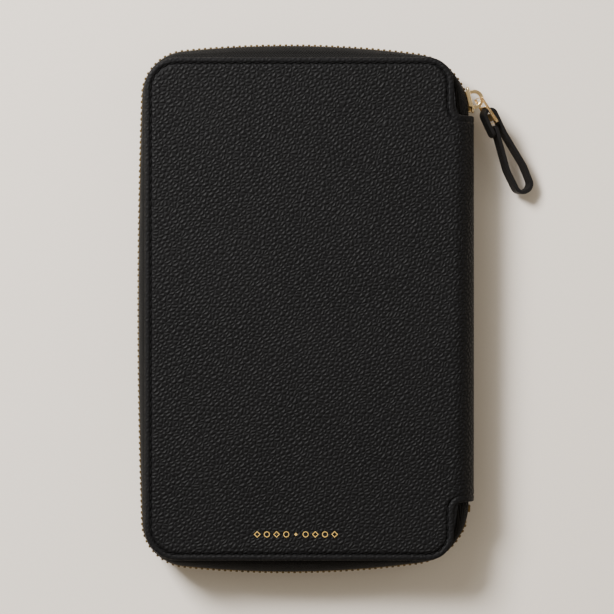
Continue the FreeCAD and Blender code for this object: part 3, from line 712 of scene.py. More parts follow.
def angleOf(centre, point):
    return math.atan2(point.y - centre.y, point.x - centre.x)


def circlesMeet(a, aRadius, b, bRadius):
    apart = (b - a).length
    ahead = (apart ** 2 + aRadius ** 2 - bRadius ** 2) / (2 * apart)
    aside = math.sqrt(aRadius ** 2 - ahead ** 2)
    way = (b - a).normalized()
    return a + way * ahead + Vector((-way.y, way.x)) * aside


def otherEnd(path):
    # The same pieces at the bottom end of the case, one turn further on
    turned = []
    for piece in reversed(path):
        if piece[0] == "line":
            turned.append(line((piece[2].x, -piece[2].y), (piece[1].x, -piece[1].y)))
        else:
            centre, radius, first, last = piece[1:]
            turned.append(arc((centre.x, -centre.y), radius, 2 * math.pi - last, 2 * math.pi - first))
    return turned


def chainPath():
    z = zipLine
    endRadius = bowRadius(spineFace, z["endCrown"])
    endCentre = Vector((-z["apexShift"], halfLength + z["endOverhang"] - endRadius))
    sideRadius = bowRadius(halfLength, z["sideCrown"])
    sideCentre = Vector((left - z["sideOverhang"] + sideRadius, 0))
    corner = Vector(joints["slider_travel"]["pos_m"][:2])
    cornerRadius = spineFace - z["spineInset"] - corner.x
    freeCorner = circlesMeet(endCentre, endRadius - z["freeCorner"], sideCentre,
        sideRadius - z["freeCorner"])
    turn, leave = angleOf(endCentre, corner), angleOf(endCentre, freeCorner)
    side = angleOf(freeCorner, freeCorner * 2 - sideCentre)
    spineEnd = corner.x + cornerRadius
    half = [line((spineEnd, halfSpine + z["endGap"]), (spineEnd, corner.y)),
            arc(corner, cornerRadius, 0, turn), arc(endCentre, endRadius, turn, leave),
            arc(freeCorner, z["freeCorner"], leave, side)]
    return half + [arc(sideCentre, sideRadius, side, 2 * math.pi - side)] + otherEnd(half)


def edgePath(inset, endY):
    # The cover's edge, moved in, from the top of the spine round to its bottom
    x0, x1, y1 = left + inset, hingeLine - inset, halfLength - inset
    r0, r1 = skin["freeCorner"] - inset, skin["spineCorner"] - inset
    quarter = math.pi / 2
    half = [line((x1, endY), (x1, y1 - r1)), arc((x1 - r1, y1 - r1), r1, 0, quarter),
            line((x1 - r1, y1), (x0 + r0, y1)), arc((x0 + r0, y1 - r0), r0, quarter, 2 * quarter)]
    return half + [line((x0, y1 - r0), (x0, r0 - y1))] + otherEnd(half)


chain = chainPath()
chainLength = sum(pieceLength(p) for p in chain)


def onChain(distance, side=1):
    # Where a tooth or the slider sits: X along the chain, Y outwards, Z away from the middle
    place, out = alongPath(chain, distance)
    turn = Matrix.Rotation(math.atan2(out.y, out.x) - math.pi / 2, 4, "Z")
    flip = Matrix.Rotation(0 if side > 0 else math.pi, 4, "X")
    return Matrix.Translation((place.x, place.y, mid)) @ turn @ flip


# zip tapes: sewn flat under the cover's edge, then bellying out and up to the chain

tape = dict(
    thickness=0.6 * mm, station=1.6 * mm, wrinkle=0.16 * mm,
    # height above the cover's outer face, share of the way from edge to chain,
    # distance in from the edge
    levels=[(2.9, 0, 4.6), (2.9, 0, 2.0), (2.92, 0, 0.6), (3.15, 0.10, 0.2), (3.7, 0.30, 0),
            (4.5, 0.52, 0), (5.5, 0.73, 0), (6.6, 0.88, 0), (7.7, 0.97, 0), (8.8, 1.0, 0),
            (9.8, 1.0, 0), (10.8, 1.0, 0)],
)


def tapePiece(name, side, body):
    seam = edgePath(0, halfSpine + zipLine["endGap"])
    stations = []
    for edge, way in zip(seam, chain):
        count = max(2, math.ceil(pieceLength(way) / tape["station"]))
        stations += [(alongPiece(edge, n / count), alongPiece(way, n / count)) for n in range(count)]
    stations.append((alongPiece(seam[-1], 1), alongPiece(chain[-1], 1)))
    bm = bmesh.new()
    grain = grainLayer(bm)
    before, across = None, 0.0
    for height, share, inset in tape["levels"]:
        row, travelled, lastWay = [], 0.0, None
        for (edge, edgeOut), (way, wayOut) in stations:
            travelled += (way - lastWay).length if lastWay else 0.0
            lastWay = way
            place = (edge - edgeOut * inset * mm).lerp(way, share)
            wrinkle = noise.noise(Vector((travelled * 90, side * 5.0, height * 0.3)))
            wrinkle *= tape["wrinkle"] * math.sin(share * math.pi)
            v = bm.verts.new((place.x + wayOut.x * wrinkle, place.y + wayOut.y * wrinkle,
                mid + side * (mid - height * mm)))
            v[grain] = Vector((travelled, across, 0))
            row.append(v)
        edges = [bm.edges.new(pair) for pair in zip(row, row[1:])]
        if before:
            bmesh.ops.bridge_loops(bm, edges=before + edges)
        before = edges
        following = tape["levels"][min(len(tape["levels"]) - 1,
            tape["levels"].index((height, share, inset)) + 1)]
        across += math.hypot((following[0] - height) * mm,
            (following[1] - share) * 5 * mm + (inset - following[2]) * mm)
    faceOut(bm)
    made = addPiece(name, bm, zipTape, keepPlace=True, crease=60)
    addSolidify(made, tape["thickness"])
    addBevel(made, 0.15 * mm, 2)
    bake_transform(made, body, "spine", (zipLine["blendFrom"], 0, mid),
        (spineFace - zipLine["spineInset"], 0, mid))
    return made


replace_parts(tapePiece("frontTape", 1, "front_cover"), "front_zip_tape", "front_zip_tape_top_corner",
    "front_zip_tape_bottom_corner")
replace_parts(tapePiece("backTape", -1, "back_cover"), "back_zip_tape")
print("tapes ready")

# teeth and stops

tooth = dict(length=1.15 * mm, width=2.4 * mm, low=-0.5 * mm, high=3.4 * mm, rounding=0.22 * mm,
    headWidth=0.82)


def toothMesh():
    part = bmesh.new()
    t = tooth
    size = Matrix.Diagonal((t["length"], t["width"], t["high"] - t["low"], 1))
    bmesh.ops.create_cube(part, size=1.0,
        matrix=Matrix.Translation((0, 0, (t["high"] + t["low"]) / 2)) @ size)
    for v in part.verts:
        if v.co.z < 0:
            v.co.y *= t["headWidth"]
    roundOff(part, part.edges[:], t["rounding"], 1)
    return asMesh(part)


def stopBlock(bm, distance, length, low, high, side=1):
    part = roundedBox(-length / 2, length / 2, -tooth["width"] / 2, tooth["width"] / 2, low, high,
        0.3 * mm)
    addInto(bm, part, onChain(distance, side))


def teethPiece(name, side, body, first):
    mesh = toothMesh()
    bm = bmesh.new()
    run = chainLength - 2 * zipLine["bottomStop"] - zipLine["sliderDistance"]
    for n in range(int(run / zipLine["pitch"])):
        stamp(bm, mesh, onChain(first + zipLine["pitch"] * n, side))
    stopBlock(bm, zipLine["sliderDistance"] - 3.45 * mm, 1.8 * mm, 1.5 * mm, tooth["high"], side)
    if side < 0:
        stopBlock(bm, chainLength - zipLine["bottomStop"], 3 * mm, -tooth["high"], tooth["high"])
    made = addPiece(name, bm, toothBrass, crease=30)
    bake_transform(made, body, "spine", (zipLine["blendFrom"], 0, mid),
        (spineFace - zipLine["spineInset"], 0, mid))
    return made


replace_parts(teethPiece("frontTeeth", 1, "front_cover", zipLine["sliderDistance"]), "front_zip_teeth",
    "front_top_stop")
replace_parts(teethPiece("backTeeth", -1, "back_cover", zipLine["sliderDistance"] + zipLine["pitch"] / 2),
    "back_zip_teeth", "back_top_stop", "zip_bottom_stop")
print("teeth ready")

# slider with its bail

slider = dict(
    length=11.5 * mm, width=9 * mm, plate=1.0 * mm, out=1.4 * mm, inside=2.0 * mm,
    nose=2.875 * mm, corner=1.6 * mm, slotOut=0.5 * mm, slotIn=1.15 * mm, flange=0.85 * mm, post=1.1 * mm,
    bailRadius=3.7 * mm, bailThickness=1.0 * mm, bailWidth=2.0 * mm, bailRise=1.3 * mm,
    bailInside=0.6 * mm, ridge=0.09 * mm, ridges=27,
)
plateFace = slider["out"] + slider["plate"]


def sliderPlate(y0, y1):
    s = slider
    half, wide, nose = s["length"] / 2, s["width"] / 2, s["nose"]
    part = bmesh.new()
    corners = [(-half, -wide), (half - nose, -wide), (half, nose - wide), (half, wide - nose),
        (half - nose, wide), (-half, wide)]
    part.faces.new([part.verts.new((x, y0, z)) for x, z in corners])
    roundCorners(part, [(Vector((x, y0, z)), s["corner"] * 0.85) for x, z in corners])
    thicken(part, (0, y1 - y0, 0))
    rims = [e for e in part.edges if rise(e, 1) < level]
    roundOff(part, rims, 0.28 * mm, 3)
    return part


def sliderPiece():
    s = slider
    half, wide, nose = s["length"] / 2, s["width"] / 2, s["nose"]
    bm = bmesh.new()
    addInto(bm, sliderPlate(s["out"], plateFace))
    addInto(bm, sliderPlate(-s["inside"], -s["inside"] - s["plate"]))
    for side in (-1, 1):
        z0, z1 = sorted((side * (wide - s["flange"]), side * wide))
        for y0, y1 in ((s["slotOut"], s["out"] + 0.3 * mm), (-s["inside"] - 0.3 * mm, -s["slotIn"])):
            addBox(bm, -half + s["corner"], half - nose, y0, y1, z0, z1, 0.22 * mm, 3)
    addBox(bm, nose * 0.7, half - 0.6 * mm, -s["inside"] - 0.2 * mm, s["out"] + 0.2 * mm,
        -s["post"] * 0.8, s["post"] * 0.8, 0.3 * mm, 3)
    ring = bmesh.new()
    centre = Vector((0, plateFace + s["bailRise"], 0))
    t, w = s["bailThickness"] / 2, s["bailWidth"] / 2
    inner = -t - s["bailInside"]
    section = [(inner, -w), (t, -w), (t, w), (inner, w)]
    ring.faces.new([ring.verts.new(centre + Vector((s["bailRadius"] + a, 0, b))) for a, b in section])
    roundOff(ring, ring.verts[:], 0.32 * mm, 3, "VERTICES")
    outline = ring.edges[:]
    bmesh.ops.delete(ring, geom=ring.faces[:], context="FACES_ONLY")
    bmesh.ops.spin(ring, geom=outline, cent=centre, axis=(0, 0, 1), angle=2 * math.pi, steps=108,
        use_merge=True, use_duplicate=False)
    for v in ring.verts:
        spoke = Vector((v.co.x, v.co.y - centre.y, 0))
        if spoke.length > s["bailRadius"]:
            angle = math.atan2(spoke.y, spoke.x)
            v.co += spoke.normalized() * s["ridge"] * math.sin(angle * s["ridges"])
    faceOut(ring)
    cut(ring, (0, plateFace - 0.2 * mm, 0), (0, -1, 0), 0.001 * mm, clear_outer=True)
    bmesh.ops.holes_fill(ring, edges=[e for e in ring.edges if e.is_boundary])
    addInto(bm, ring)
    for x in (-1, 1):
        foot = x * math.sqrt(s["bailRadius"] ** 2 - s["bailRise"] ** 2)
        addBox(bm, foot - 1.0 * mm, foot + 1.0 * mm, plateFace - 0.1 * mm, plateFace + 0.45 * mm,
            -1.35 * mm, 1.35 * mm, 0.2 * mm, 3)
    keepGrain(bm)
    bmesh.ops.transform(bm, matrix=onChain(zipLine["sliderDistance"]), verts=bm.verts[:])
    made = addPiece("zipSlider", bm, paleGold, keepPlace=True, crease=40)
    settle(made, "zip_slider", "slider_metal", "slider_body", "slider_bail")


sliderPiece()

# puller tab: a gold frame whose eye hangs on the bail

tab = dict(
    thickness=1.2 * mm, rail=1.0 * mm, railInside=0.25 * mm, eyeLength=3.4 * mm, eyeWidth=4.4 * mm,
    crossbar=0.9 * mm, slot=6.3 * mm, webStart=3.9 * mm, webHalf=2.9 * mm, webThick=0.3 * mm,
    endBar=1.2 * mm, endHalf=4.1 * mm, heading=-57, ringTurn=48, droop=12, tilt=-20,
)


def hung(heading, place):
    made = Matrix.Translation(place)
    for angle, axis in ((heading, "Z"), (tab["droop"], "Y"), (tab["tilt"], "X")):
        made = made @ Matrix.Rotation(math.radians(angle), 4, axis)
    return made


def pullerTab():
    t = tab
    half = t["thickness"] / 2
    out = alongPath(chain, zipLine["sliderDistance"])[1]
    angle = math.atan2(out.y, out.x) - math.pi / 2 + math.radians(t["ringTurn"])
    eye = Vector(joints["puller_swing"]["pos_m"])
    eye += Vector((math.cos(angle), math.sin(angle), 0)) * slider["bailRadius"]
    reach = t["eyeLength"] / 2 + t["crossbar"] + t["slot"] + t["endBar"] / 2
    x0, x1 = -t["eyeLength"] / 2 - t["rail"], reach + t["endBar"] / 2
    head, end = t["eyeWidth"] / 2 + t["rail"], t["endHalf"]
    part = bmesh.new()
    corners = [(x0, -head), (x1, -end), (x1, end), (x0, head)]
    face = part.faces.new([part.verts.new((x, -half, z)) for x, z in corners])
    bmesh.ops.inset_region(part, faces=[face], thickness=t["rail"] + t["railInside"],
        use_even_offset=True, use_boundary=True)
    bmesh.ops.delete(part, geom=[face], context="FACES")
    thicken(part, (0, t["thickness"], 0))
    posts = [e for e in part.edges if rise(e, 1) > half]
    roundOff(part, posts, 0.75 * mm, 4)
    rims = [e for e in part.edges if rise(e, 1) < level
            and abs(e.link_faces[0].normal.dot(e.link_faces[1].normal)) < 0.5]
    roundOff(part, rims, 0.25 * mm, 3)
    bm = bmesh.new()
    addInto(bm, part)
    bar = t["eyeLength"] / 2
    barHalf = t["eyeWidth"] / 2 + 0.4 * mm
    addBox(bm, bar, bar + t["crossbar"], -half * 0.9, half * 0.9, -barHalf, barHalf, 0.25 * mm, 3)
    for f in bm.faces:
        f.material_index = 0
    web = roundedBox(bar + t["webStart"], reach - t["endBar"] / 2 + 0.2 * mm, -t["webThick"],
        t["webThick"], -t["webHalf"], t["webHalf"], 0.15 * mm, 2)
    before = len(bm.faces)
    addInto(bm, web)
    bm.faces.ensure_lookup_table()
    # the recessed web takes the darker gold, painted shade
    for f in bm.faces[before:]:
        f.material_index = 1
    keepGrain(bm)
    bmesh.ops.transform(bm, matrix=hung(t["heading"], eye), verts=bm.verts[:])
    made = addPiece("pullerTab", bm, paleGold, recessGold, keepPlace=True, crease=40)
    settle(made, "zip_puller", "slider_metal", "puller_tab")


pullerTab()

# leather strap folded through the tab

strap = dict(
    width=4.6 * mm, thickness=1.6 * mm, heading=-63.8, foldRadius=2.6, bend=14, turn=3.5,
    tailEnd=6.0, tailSide=-3.0, foldReach=5.9, reach=34.2, nearShare=0.19, middleShare=0.68,
    belly=4.1, taper=0.6, backEnd=1.8, backSide=0.4, step=0.7 * mm,
)


def pathThrough(points):
    # Straight runs between (x, y, bend radius) points with arcs at the inner ones
    path = []
    start = Vector(points[0][:2])
    for before, here, after in zip(points, points[1:], points[2:]):
        corner = Vector(here[:2])
        arriving = (corner - Vector(before[:2])).normalized()
        leaving = (Vector(after[:2]) - corner).normalized()
        turn = math.atan2(arriving.x * leaving.y - arriving.y * leaving.x, arriving.dot(leaving))
        cut = here[2] * math.tan(abs(turn) / 2)
        begin, way = corner - arriving * cut, 1 if turn > 0 else -1
        centre = begin + Vector((-arriving.y, arriving.x)) * here[2] * way
        first = angleOf(centre, begin)
        path += [line(start, begin), arc(centre, here[2], first, first + turn)]
        start = corner + leaving * cut
    return path + [line(start, points[-1][:2])]


def strapPath():
    s = strap
    loopSide = s["tailSide"] + 2 * s["foldRadius"]
    far = s["reach"]
    near, middle = far * s["nearShare"], far * s["middleShare"]
    points = [
        (s["tailEnd"], s["tailSide"], 0),
        (-s["foldReach"], s["tailSide"], s["foldRadius"]),
        (-s["foldReach"], loopSide, s["foldRadius"]),
        (near, loopSide, s["bend"]),
        (middle, s["belly"], s["bend"]),
        (far, s["belly"] - s["taper"], s["turn"]),
        (far - s["taper"], s["taper"] - s["belly"] - 0.4, s["turn"]),
        (middle - 1.3, -s["belly"], s["bend"]),
        (s["backEnd"], -s["backSide"], 0)]
    return pathThrough([tuple(value * mm for value in point) for point in points])


def strapPiece():
    path = strapPath()
    total = sum(pieceLength(p) for p in path)
    count = int(total / strap["step"])
    bm = bmesh.new()
    grain = grainLayer(bm)
    before = None
    for level in (-1, -0.9, -0.5, 0, 0.5, 0.9, 1):
        row = []
        for n in range(count + 1):
            distance = total * n / count
            place = alongPath(path, distance)[0]
            fromEnd = min(distance, total - distance) / (1.7 * mm)
            round_ = 1.0 if fromEnd >= 1 else math.sqrt(1 - (1 - fromEnd) ** 2) * 0.6 + 0.4
            v = bm.verts.new((place.x, place.y, level * strap["width"] / 2 * round_))
            v[grain] = Vector((distance, level * strap["width"] / 2, 0))
            row.append(v)
        edges = [bm.edges.new(pair) for pair in zip(row, row[1:])]
        if before:
            bmesh.ops.bridge_loops(bm, edges=before + edges)
        before = edges
    faceOut(bm)
    bmesh.ops.transform(bm, matrix=hung(strap["heading"], joints["strap_swing"]["pos_m"]),
        verts=bm.verts[:])
    made = addPiece("pullStrap", bm, strapLeather, edgePaint, keepPlace=True, crease=60)
    addSolidify(made, strap["thickness"], rim=1)
    addBevel(made, 0.36 * mm, 3, 50)
    settle(made, "pull_strap", "strap_leather", "pull_strap")


strapPiece()
print("slider, tab and strap ready")

# stitches

stitch = dict(pitch=3.6 * mm, inset=2.7 * mm, half=1.42 * mm, wide=0.27 * mm, tall=0.24 * mm, tilt=7)


def stitchMesh(scale=1.0):
    part = bmesh.new()
    size = Matrix.Diagonal((stitch["half"] * scale, stitch["wide"] * scale, stitch["tall"] * scale, 1))
    bmesh.ops.create_uvsphere(part, u_segments=8, v_segments=5, radius=1.0,
        matrix=size @ Matrix.Rotation(math.pi / 2, 4, "Y"))
    bmesh.ops.rotate(part, verts=part.verts[:], cent=(0, 0, 0),
        matrix=Matrix.Rotation(math.radians(stitch["tilt"]), 3, "Z"))
    return asMesh(part)


def stitchRun(bm, path, z, pitch=None, scale=1.0):
    mesh = stitchMesh(scale)
    pitch = pitch or stitch["pitch"]
    total = sum(pieceLength(p) for p in path)
    count = max(1, round(total / pitch))
    for n in range(count):
        place, out = alongPath(path, total * (n + 0.5) / count)
        turn = Matrix.Rotation(math.atan2(out.y, out.x) - math.pi / 2, 4, "Z")
        stamp(bm, mesh, Matrix.Translation((place.x, place.y, z)) @ turn)
    bpy.data.meshes.remove(mesh)


def stitchPiece(name, body, runs, mat=blackThread):
    # runs are (path, height, pitch, scale)
    bm = bmesh.new()
    for path, z, pitch, scale in runs:
        stitchRun(bm, path, z, pitch, scale)
    made = addPiece(name, bm, mat, crease=80)
    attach(made, body)
    return made


coverSeam = edgePath(stitch["inset"], halfSpine - 1.9 * mm)
for word in ("front", "back"):
    depths = [0.28 * mm, liningTop + 0.05 * mm]
    runs = [(coverSeam, caseTop - z if word == "front" else z, None, 1.0) for z in depths]
    stitchPiece(word + "Stitches", word + "_cover", runs)
print("stitches ready")

# foil mark: a plain row of small ornaments

foil = dict(centreX=-4.1 * mm, centreY=-96.7 * mm, spacing=4.15 * mm, size=1.25 * mm, stroke=0.27 * mm,
    thickness=0.10 * mm)


def ornament(kind, x):
    # An outlined figure with that many corners, or a filled one when the number is negative
    part = bmesh.new()
    f = foil
    sides = abs(kind)
    radius = f["size"] * (1.0 if sides > 4 else 1.12)
    bmesh.ops.create_circle(part, cap_ends=True, segments=sides,
        radius=radius * (0.5 if kind < 0 else 1.0))
    if kind > 0:
        face = part.faces[:][0]
        bmesh.ops.inset_region(part, faces=[face], thickness=f["stroke"], use_even_offset=True,
            use_boundary=True)
        bmesh.ops.delete(part, geom=[face], context="FACES")
    thicken(part, (0, 0, f["thickness"]))
    bmesh.ops.translate(part, verts=part.verts[:],
        vec=(x, f["centreY"], caseTop - f["thickness"] * 0.6))
    faceOut(part)
    return part


def foilMark():
    bm = bmesh.new()
    row = [4, 24, 4, 24, -4, 24, 4, 24, 4]
    for n, kind in enumerate(row):
        x = foil["centreX"] + (n - (len(row) - 1) / 2) * foil["spacing"]
        addInto(bm, ornament(kind, x))
    made = addPiece("foilMark", bm, foilGold, crease=30)
    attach(made, "front_cover")


foilMark()
print("foil mark ready")

# linings

lining = dict(freeCorner=12.5 * mm, spineCorner=10 * mm, rounding=0.2 * mm, spineDepth=2.0,
    coverDepth=3.3, thickness=0.5 * mm, spineInset=3.0 * mm)


def onCover(name, bm, side, mat, **more):
    # A piece made lying in the back cover, turned over for the front cover when side is 1
    made = addPiece(name, toFront(bm) if side > 0 else bm, mat, **more)
    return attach(made, "front_cover" if side > 0 else "back_cover")


def coverLining(side):
    word = "front" if side > 0 else "back"
    low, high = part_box("back_cover_lining")
    r0, r1 = lining["freeCorner"], lining["spineCorner"]
    bm = bmesh.new()
    panel(bm, (low.x, high.x, low.y, high.y), (r0, r1, r1, r0), low.z, high.z, lining["rounding"])
    made = onCover(word + "Lining", bm, side, liningFabric)
    settle(made, None, "lining_fabric", word + "_cover_lining")


def spineLining(side):
    # Half of the lining that bends with the spine, tucked under the cover's lining
    bm = bmesh.new()
    grain = grainLayer(bm)
    start, end = hingeLine - 2.4 * mm, hingeLine + bendLength + flatHalf
    half = halfSpine - lining["spineInset"]
    size = Matrix.Diagonal((end - start, 2 * half, 1, 1))
    bmesh.ops.create_grid(bm, x_segments=26, y_segments=40, size=0.5,
        matrix=Matrix.Translation(((start + end) / 2, 0, 0)) @ size)
    for v in bm.verts:
        x, y = v.co.x, v.co.y
        share = min(1.0, max(0.0, (x - start) / (4 * mm)))
        depth = lining["coverDepth"] + (lining["spineDepth"] + 0.25 - lining["coverDepth"]) * share
        depth += 0.12 * noise.noise(Vector((x * 120, y * 60, side)))
        v[grain] = Vector((x, y, depth * mm))
        v.co = unrolled(x, y, depth * mm, side)
    if side < 0:
        bmesh.ops.reverse_faces(bm, faces=bm.faces[:])
    word, body = ("front", "front_cover") if side > 0 else ("back", "back_cover")
    made = addPiece(word + "SpineLining", bm, liningFabric, keepPlace=True)
    addSolidify(made, lining["thickness"])
    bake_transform(made, body, "spine", (hingeLine, 0, mid + side * mid),
        (spineFace, 0, mid + side * flatHalf))
    return made


for side in (1, -1):
    coverLining(side)
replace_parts(spineLining(1), "spine_lining")
spineLining(-1)


def zipTails():
    # The tape ends tucked inside the two ends of the spine
    low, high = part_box("zip_tails")
    bm = bmesh.new()
    for end in (-1, 1):
        y0, y1 = sorted((end * (high.y - 16 * mm), end * high.y))
        addBox(bm, low.x, high.x, y0, y1, low.z, high.z, 0.2 * mm)
    grain = grainLayer(bm)
    for v in bm.verts:
        v[grain] = Vector((v.co.y, v.co.z, 0))
    made = addPiece("tapeTails", bm, zipTape, keepPlace=True)
    settle(made, "spine", "zip_tape", "zip_tails")


zipTails()
print("linings ready")

# pockets, card slots and pen loop

pocket = dict(hem=2.5 * mm, leather=0.8 * mm, corner=4 * mm, foldBand=6 * mm, foldRise=0.16 * mm,
    seamInset=1.5 * mm, seamPitch=3.0 * mm, seamScale=0.62)
pocketSeams = {1: [], -1: []}


def heights(node, side):
    # The heights of a node above its own cover's outer face
    low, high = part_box(node)
    return (caseTop - high.z, caseTop - low.z) if side > 0 else (low.z, high.z)


def seamOn(side, points, z):
    for start, end in zip(points, points[1:]):
        pocketSeams[side].append(([line(start, end)], z, pocket["seamPitch"], pocket["seamScale"]))


def patchPocket(name, node, side, mouth="high", notch=0.0, corner=None):
    # A leather panel sewn down on three sides, with a folded hem along its open edge
    p = pocket
    low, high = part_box(node)
    z0, z1 = heights(node, side)
    x0, x1, y0, y1 = low.x, high.x, low.y, high.y
    r = p["corner"] if corner is None else corner
    sheet = z1 - p["leather"]
    rLow, rHigh = (r, 0.6 * mm) if mouth == "high" else (0.6 * mm, r)
    corners = [(x0, y0, rLow), (x1, y0, rLow), (x1, y1, rHigh)]
    middle = (x0 + x1) / 2
    if notch:
        for n in range(25):
            angle = -math.pi * n / 24
            corners.append((middle + notch * math.cos(angle), y1 + notch * math.sin(angle), 0))
    corners.append((x0, y1, rHigh))
    bm = bmesh.new()
    slab(bm, corners, sheet, z1, 0.22 * mm, supported=not notch)
    h = p["hem"]
    edge = 0.05 * mm
    sideEnd = y1 - edge if mouth == "high" else y1 - r
    closedEnd = (y0 + edge, y0 + h) if mouth == "high" else (y1 - h, y1 - edge)
    for hem in ((x0 + edge, x0 + h, y0 + r, sideEnd), (x1 - h, x1 - edge, y0 + r, sideEnd),
                (x0 + r, x1 - r, *closedEnd)):
        addBox(bm, *hem, z0, sheet + 0.1 * mm, 0.1 * mm, 1)
    band = p["foldBand"]
    if mouth == "high":
        beside = notch + 1 * mm
        runs = [(x0, middle - beside), (middle + beside, x1)] if notch else [(x0, x1)]
        for a, b in runs:
            panel(bm, (a + edge, b - edge, y1 - band, y1 - edge), 0, z1 - 0.3 * mm, z1 + p["foldRise"],
                0.15 * mm)
            seamOn(side, [(a + 1 * mm, y1 - band + 0.9 * mm), (b - 1 * mm, y1 - band + 0.9 * mm)],
                z1 + p["foldRise"])
    i = p["seamInset"]
    if mouth == "high":
        seamOn(side, [(x0 + i, y1 - band), (x0 + i, y0 + i + 1 * mm), (x0 + i + 1 * mm, y0 + i),
            (x1 - i - 1 * mm, y0 + i), (x1 - i, y0 + i + 1 * mm), (x1 - i, y1 - band)], z1)
    else:
        seamOn(side, [(x0 + i, y0 + 1 * mm), (x0 + i, y1 - i), (x1 - i, y1 - i), (x1 - i, y0 + 1 * mm)],
            z1)
    made = onCover(name, bm, side, pocketLeather, crease=14 if notch else 35)
    settle(made, None, "pocket_leather", node)
    return made


patchPocket("boardingPassPocket", "boarding_pass_pocket", -1)
patchPocket("zipPocketPanel", "zip_pocket_panel", -1, corner=2 * mm)
patchPocket("zipPocketHeader", "zip_pocket_header", -1, mouth="low", corner=2 * mm)
patchPocket("ticketPocket", "ticket_pocket", 1)
patchPocket("passportPocket", "passport_pocket", 1, notch=12 * mm)


def cardSlot(number):
    node = f"card_slot_{number}"
    low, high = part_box(node)
    z0, z1 = heights(node, 1)
    bm = bmesh.new()
    r = 3.5 * mm
    panel(bm, (low.x, high.x, low.y, high.y), (0.5 * mm, 0.5 * mm, r, r), z0, z1, 0.2 * mm)
    panel(bm, (low.x + 0.6 * mm, high.x - 0.6 * mm, high.y - 2.6 * mm, high.y - 1.9 * mm), 0,
        z1 - 0.2 * mm, z1 + 0.08 * mm, 0.06 * mm)
    made = onCover(f"cardSlot{number}", bm, 1, pocketLeather)
    settle(made, None, "pocket_leather", node)
    return low, high, z1


for number in range(1, 5):
    low, high, top = cardSlot(number)
lastTop = high.y
seamOn(1, [(low.x + 1.4 * mm, lastTop - 4 * mm), (low.x + 1.4 * mm, low.y + 1.4 * mm),
    (high.x - 1.4 * mm, low.y + 1.4 * mm), (high.x - 1.4 * mm, lastTop - 4 * mm)], top)


def penLoop():
    low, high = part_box("pen_loop")
    outer = (high.x - low.x) / 2
    centre = Vector(((low.x + high.x) / 2, 0, high.z - outer))
    bm = bmesh.new()
    grain = grainLayer(bm)
    turn = Matrix.Rotation(math.pi / 2, 4, "X")
    bmesh.ops.create_cone(bm, cap_ends=False, segments=56, radius1=outer - 0.45 * mm,
        radius2=outer - 0.45 * mm, depth=high.y - low.y, matrix=Matrix.Translation(centre) @ turn)
    sides = [e for e in bm.edges if rise(e, 1) > 1 * mm]
    bmesh.ops.subdivide_edges(bm, edges=sides, cuts=16, use_grid_fill=True)
    for v in bm.verts:
        out = v.co - centre
        angle = math.atan2(out.z, out.x)
        v[grain] = Vector((angle * outer, v.co.y, 0))
        ease = 1 + 0.02 * math.sin(v.co.y * 700) + (0.03 if abs(v.co.y) > high.y - 1.2 * mm else 0)
        v.co = Vector((centre.x + out.x * (2 - ease), v.co.y, centre.z + out.z * (2 - ease)))
    made = addPiece("penLoop", bm, penElastic, keepPlace=True, crease=60)
    addSolidify(made, 0.9 * mm)
    settle(made, "back_cover", "pen_elastic", "pen_loop")
    foot = bmesh.new()
    panel(foot, (centre.x - 5.2 * mm, centre.x + 5.2 * mm, low.y, high.y), 0.8 * mm, low.z,
        low.z + 0.9 * mm, 0.2 * mm)
    made = onCover("penLoopFoot", foot, -1, penElastic)


penLoop()
print("pockets ready")

# zip of the inside pocket

coil = dict(pitch=1.05 * mm, wide=1.0 * mm, long=0.40 * mm, tall=0.46 * mm, gap=0.1 * mm)
zipY = (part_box("pocket_slider")[0].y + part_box("pocket_slider")[1].y) / 2


def pocketZip():
    low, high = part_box("zip_pocket_tapes")
    bm = bmesh.new()
    for side in (-1, 1):
        y0, y1 = sorted((zipY + side * 0.9 * mm, zipY + side * (high.y - zipY)))
        panel(bm, (low.x, high.x, y0, y1), 0, low.z, high.z, 0.1 * mm)
    made = onCover("pocketZipTapes", bm, -1, coilTape)
    settle(made, None, "coil_tape", "zip_pocket_tapes")

    low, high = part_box("zip_pocket_coils")
    part = bmesh.new()
    bmesh.ops.create_uvsphere(part, u_segments=8, v_segments=6, radius=1.0,
        matrix=Matrix.Diagonal((coil["long"], coil["wide"], coil["tall"], 1)))
    bmesh.ops.rotate(part, verts=part.verts[:], cent=(0, 0, 0),
        matrix=Matrix.Rotation(math.radians(12), 3, "Z"))
    turnMesh = asMesh(part)
    bm = bmesh.new()
    for side in (-1, 1):
        count = int((high.x - low.x) / coil["pitch"])
        for n in range(count):
            x = low.x + coil["pitch"] * (n + (0.25 if side < 0 else 0.75))
            stamp(bm, turnMesh, Matrix.Translation((x, zipY + side * (coil["gap"] / 2 + coil["wide"]),
                low.z + coil["tall"])))
        y = zipY + side * (coil["gap"] + 1.7 * mm)
        addBox(bm, low.x, high.x - 0.3 * mm, y - 0.18 * mm, y + 0.18 * mm, low.z - 0.05 * mm,
            low.z + 0.62 * mm, 0.12 * mm)
    made = onCover("pocketCoils", bm, -1, coilNylon)
    settle(made, None, "coil_nylon", "zip_pocket_coils")

    low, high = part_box("zip_pocket_stops")
    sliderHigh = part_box("pocket_slider")[1].x
    bm = bmesh.new()
    addBox(bm, low.x, low.x + 1.6 * mm, low.y, high.y, low.z, high.z, 0.25 * mm, 3)
    for y0, y1 in ((low.y, zipY - 0.1 * mm), (zipY + 0.1 * mm, high.y)):
        addBox(bm, sliderHigh + 0.2 * mm, sliderHigh + 2.0 * mm, y0, y1, low.z, high.z, 0.25 * mm, 3)
    made = onCover("pocketZipStops", bm, -1, paleGold)
    settle(made, None, "small_stops", "zip_pocket_stops")


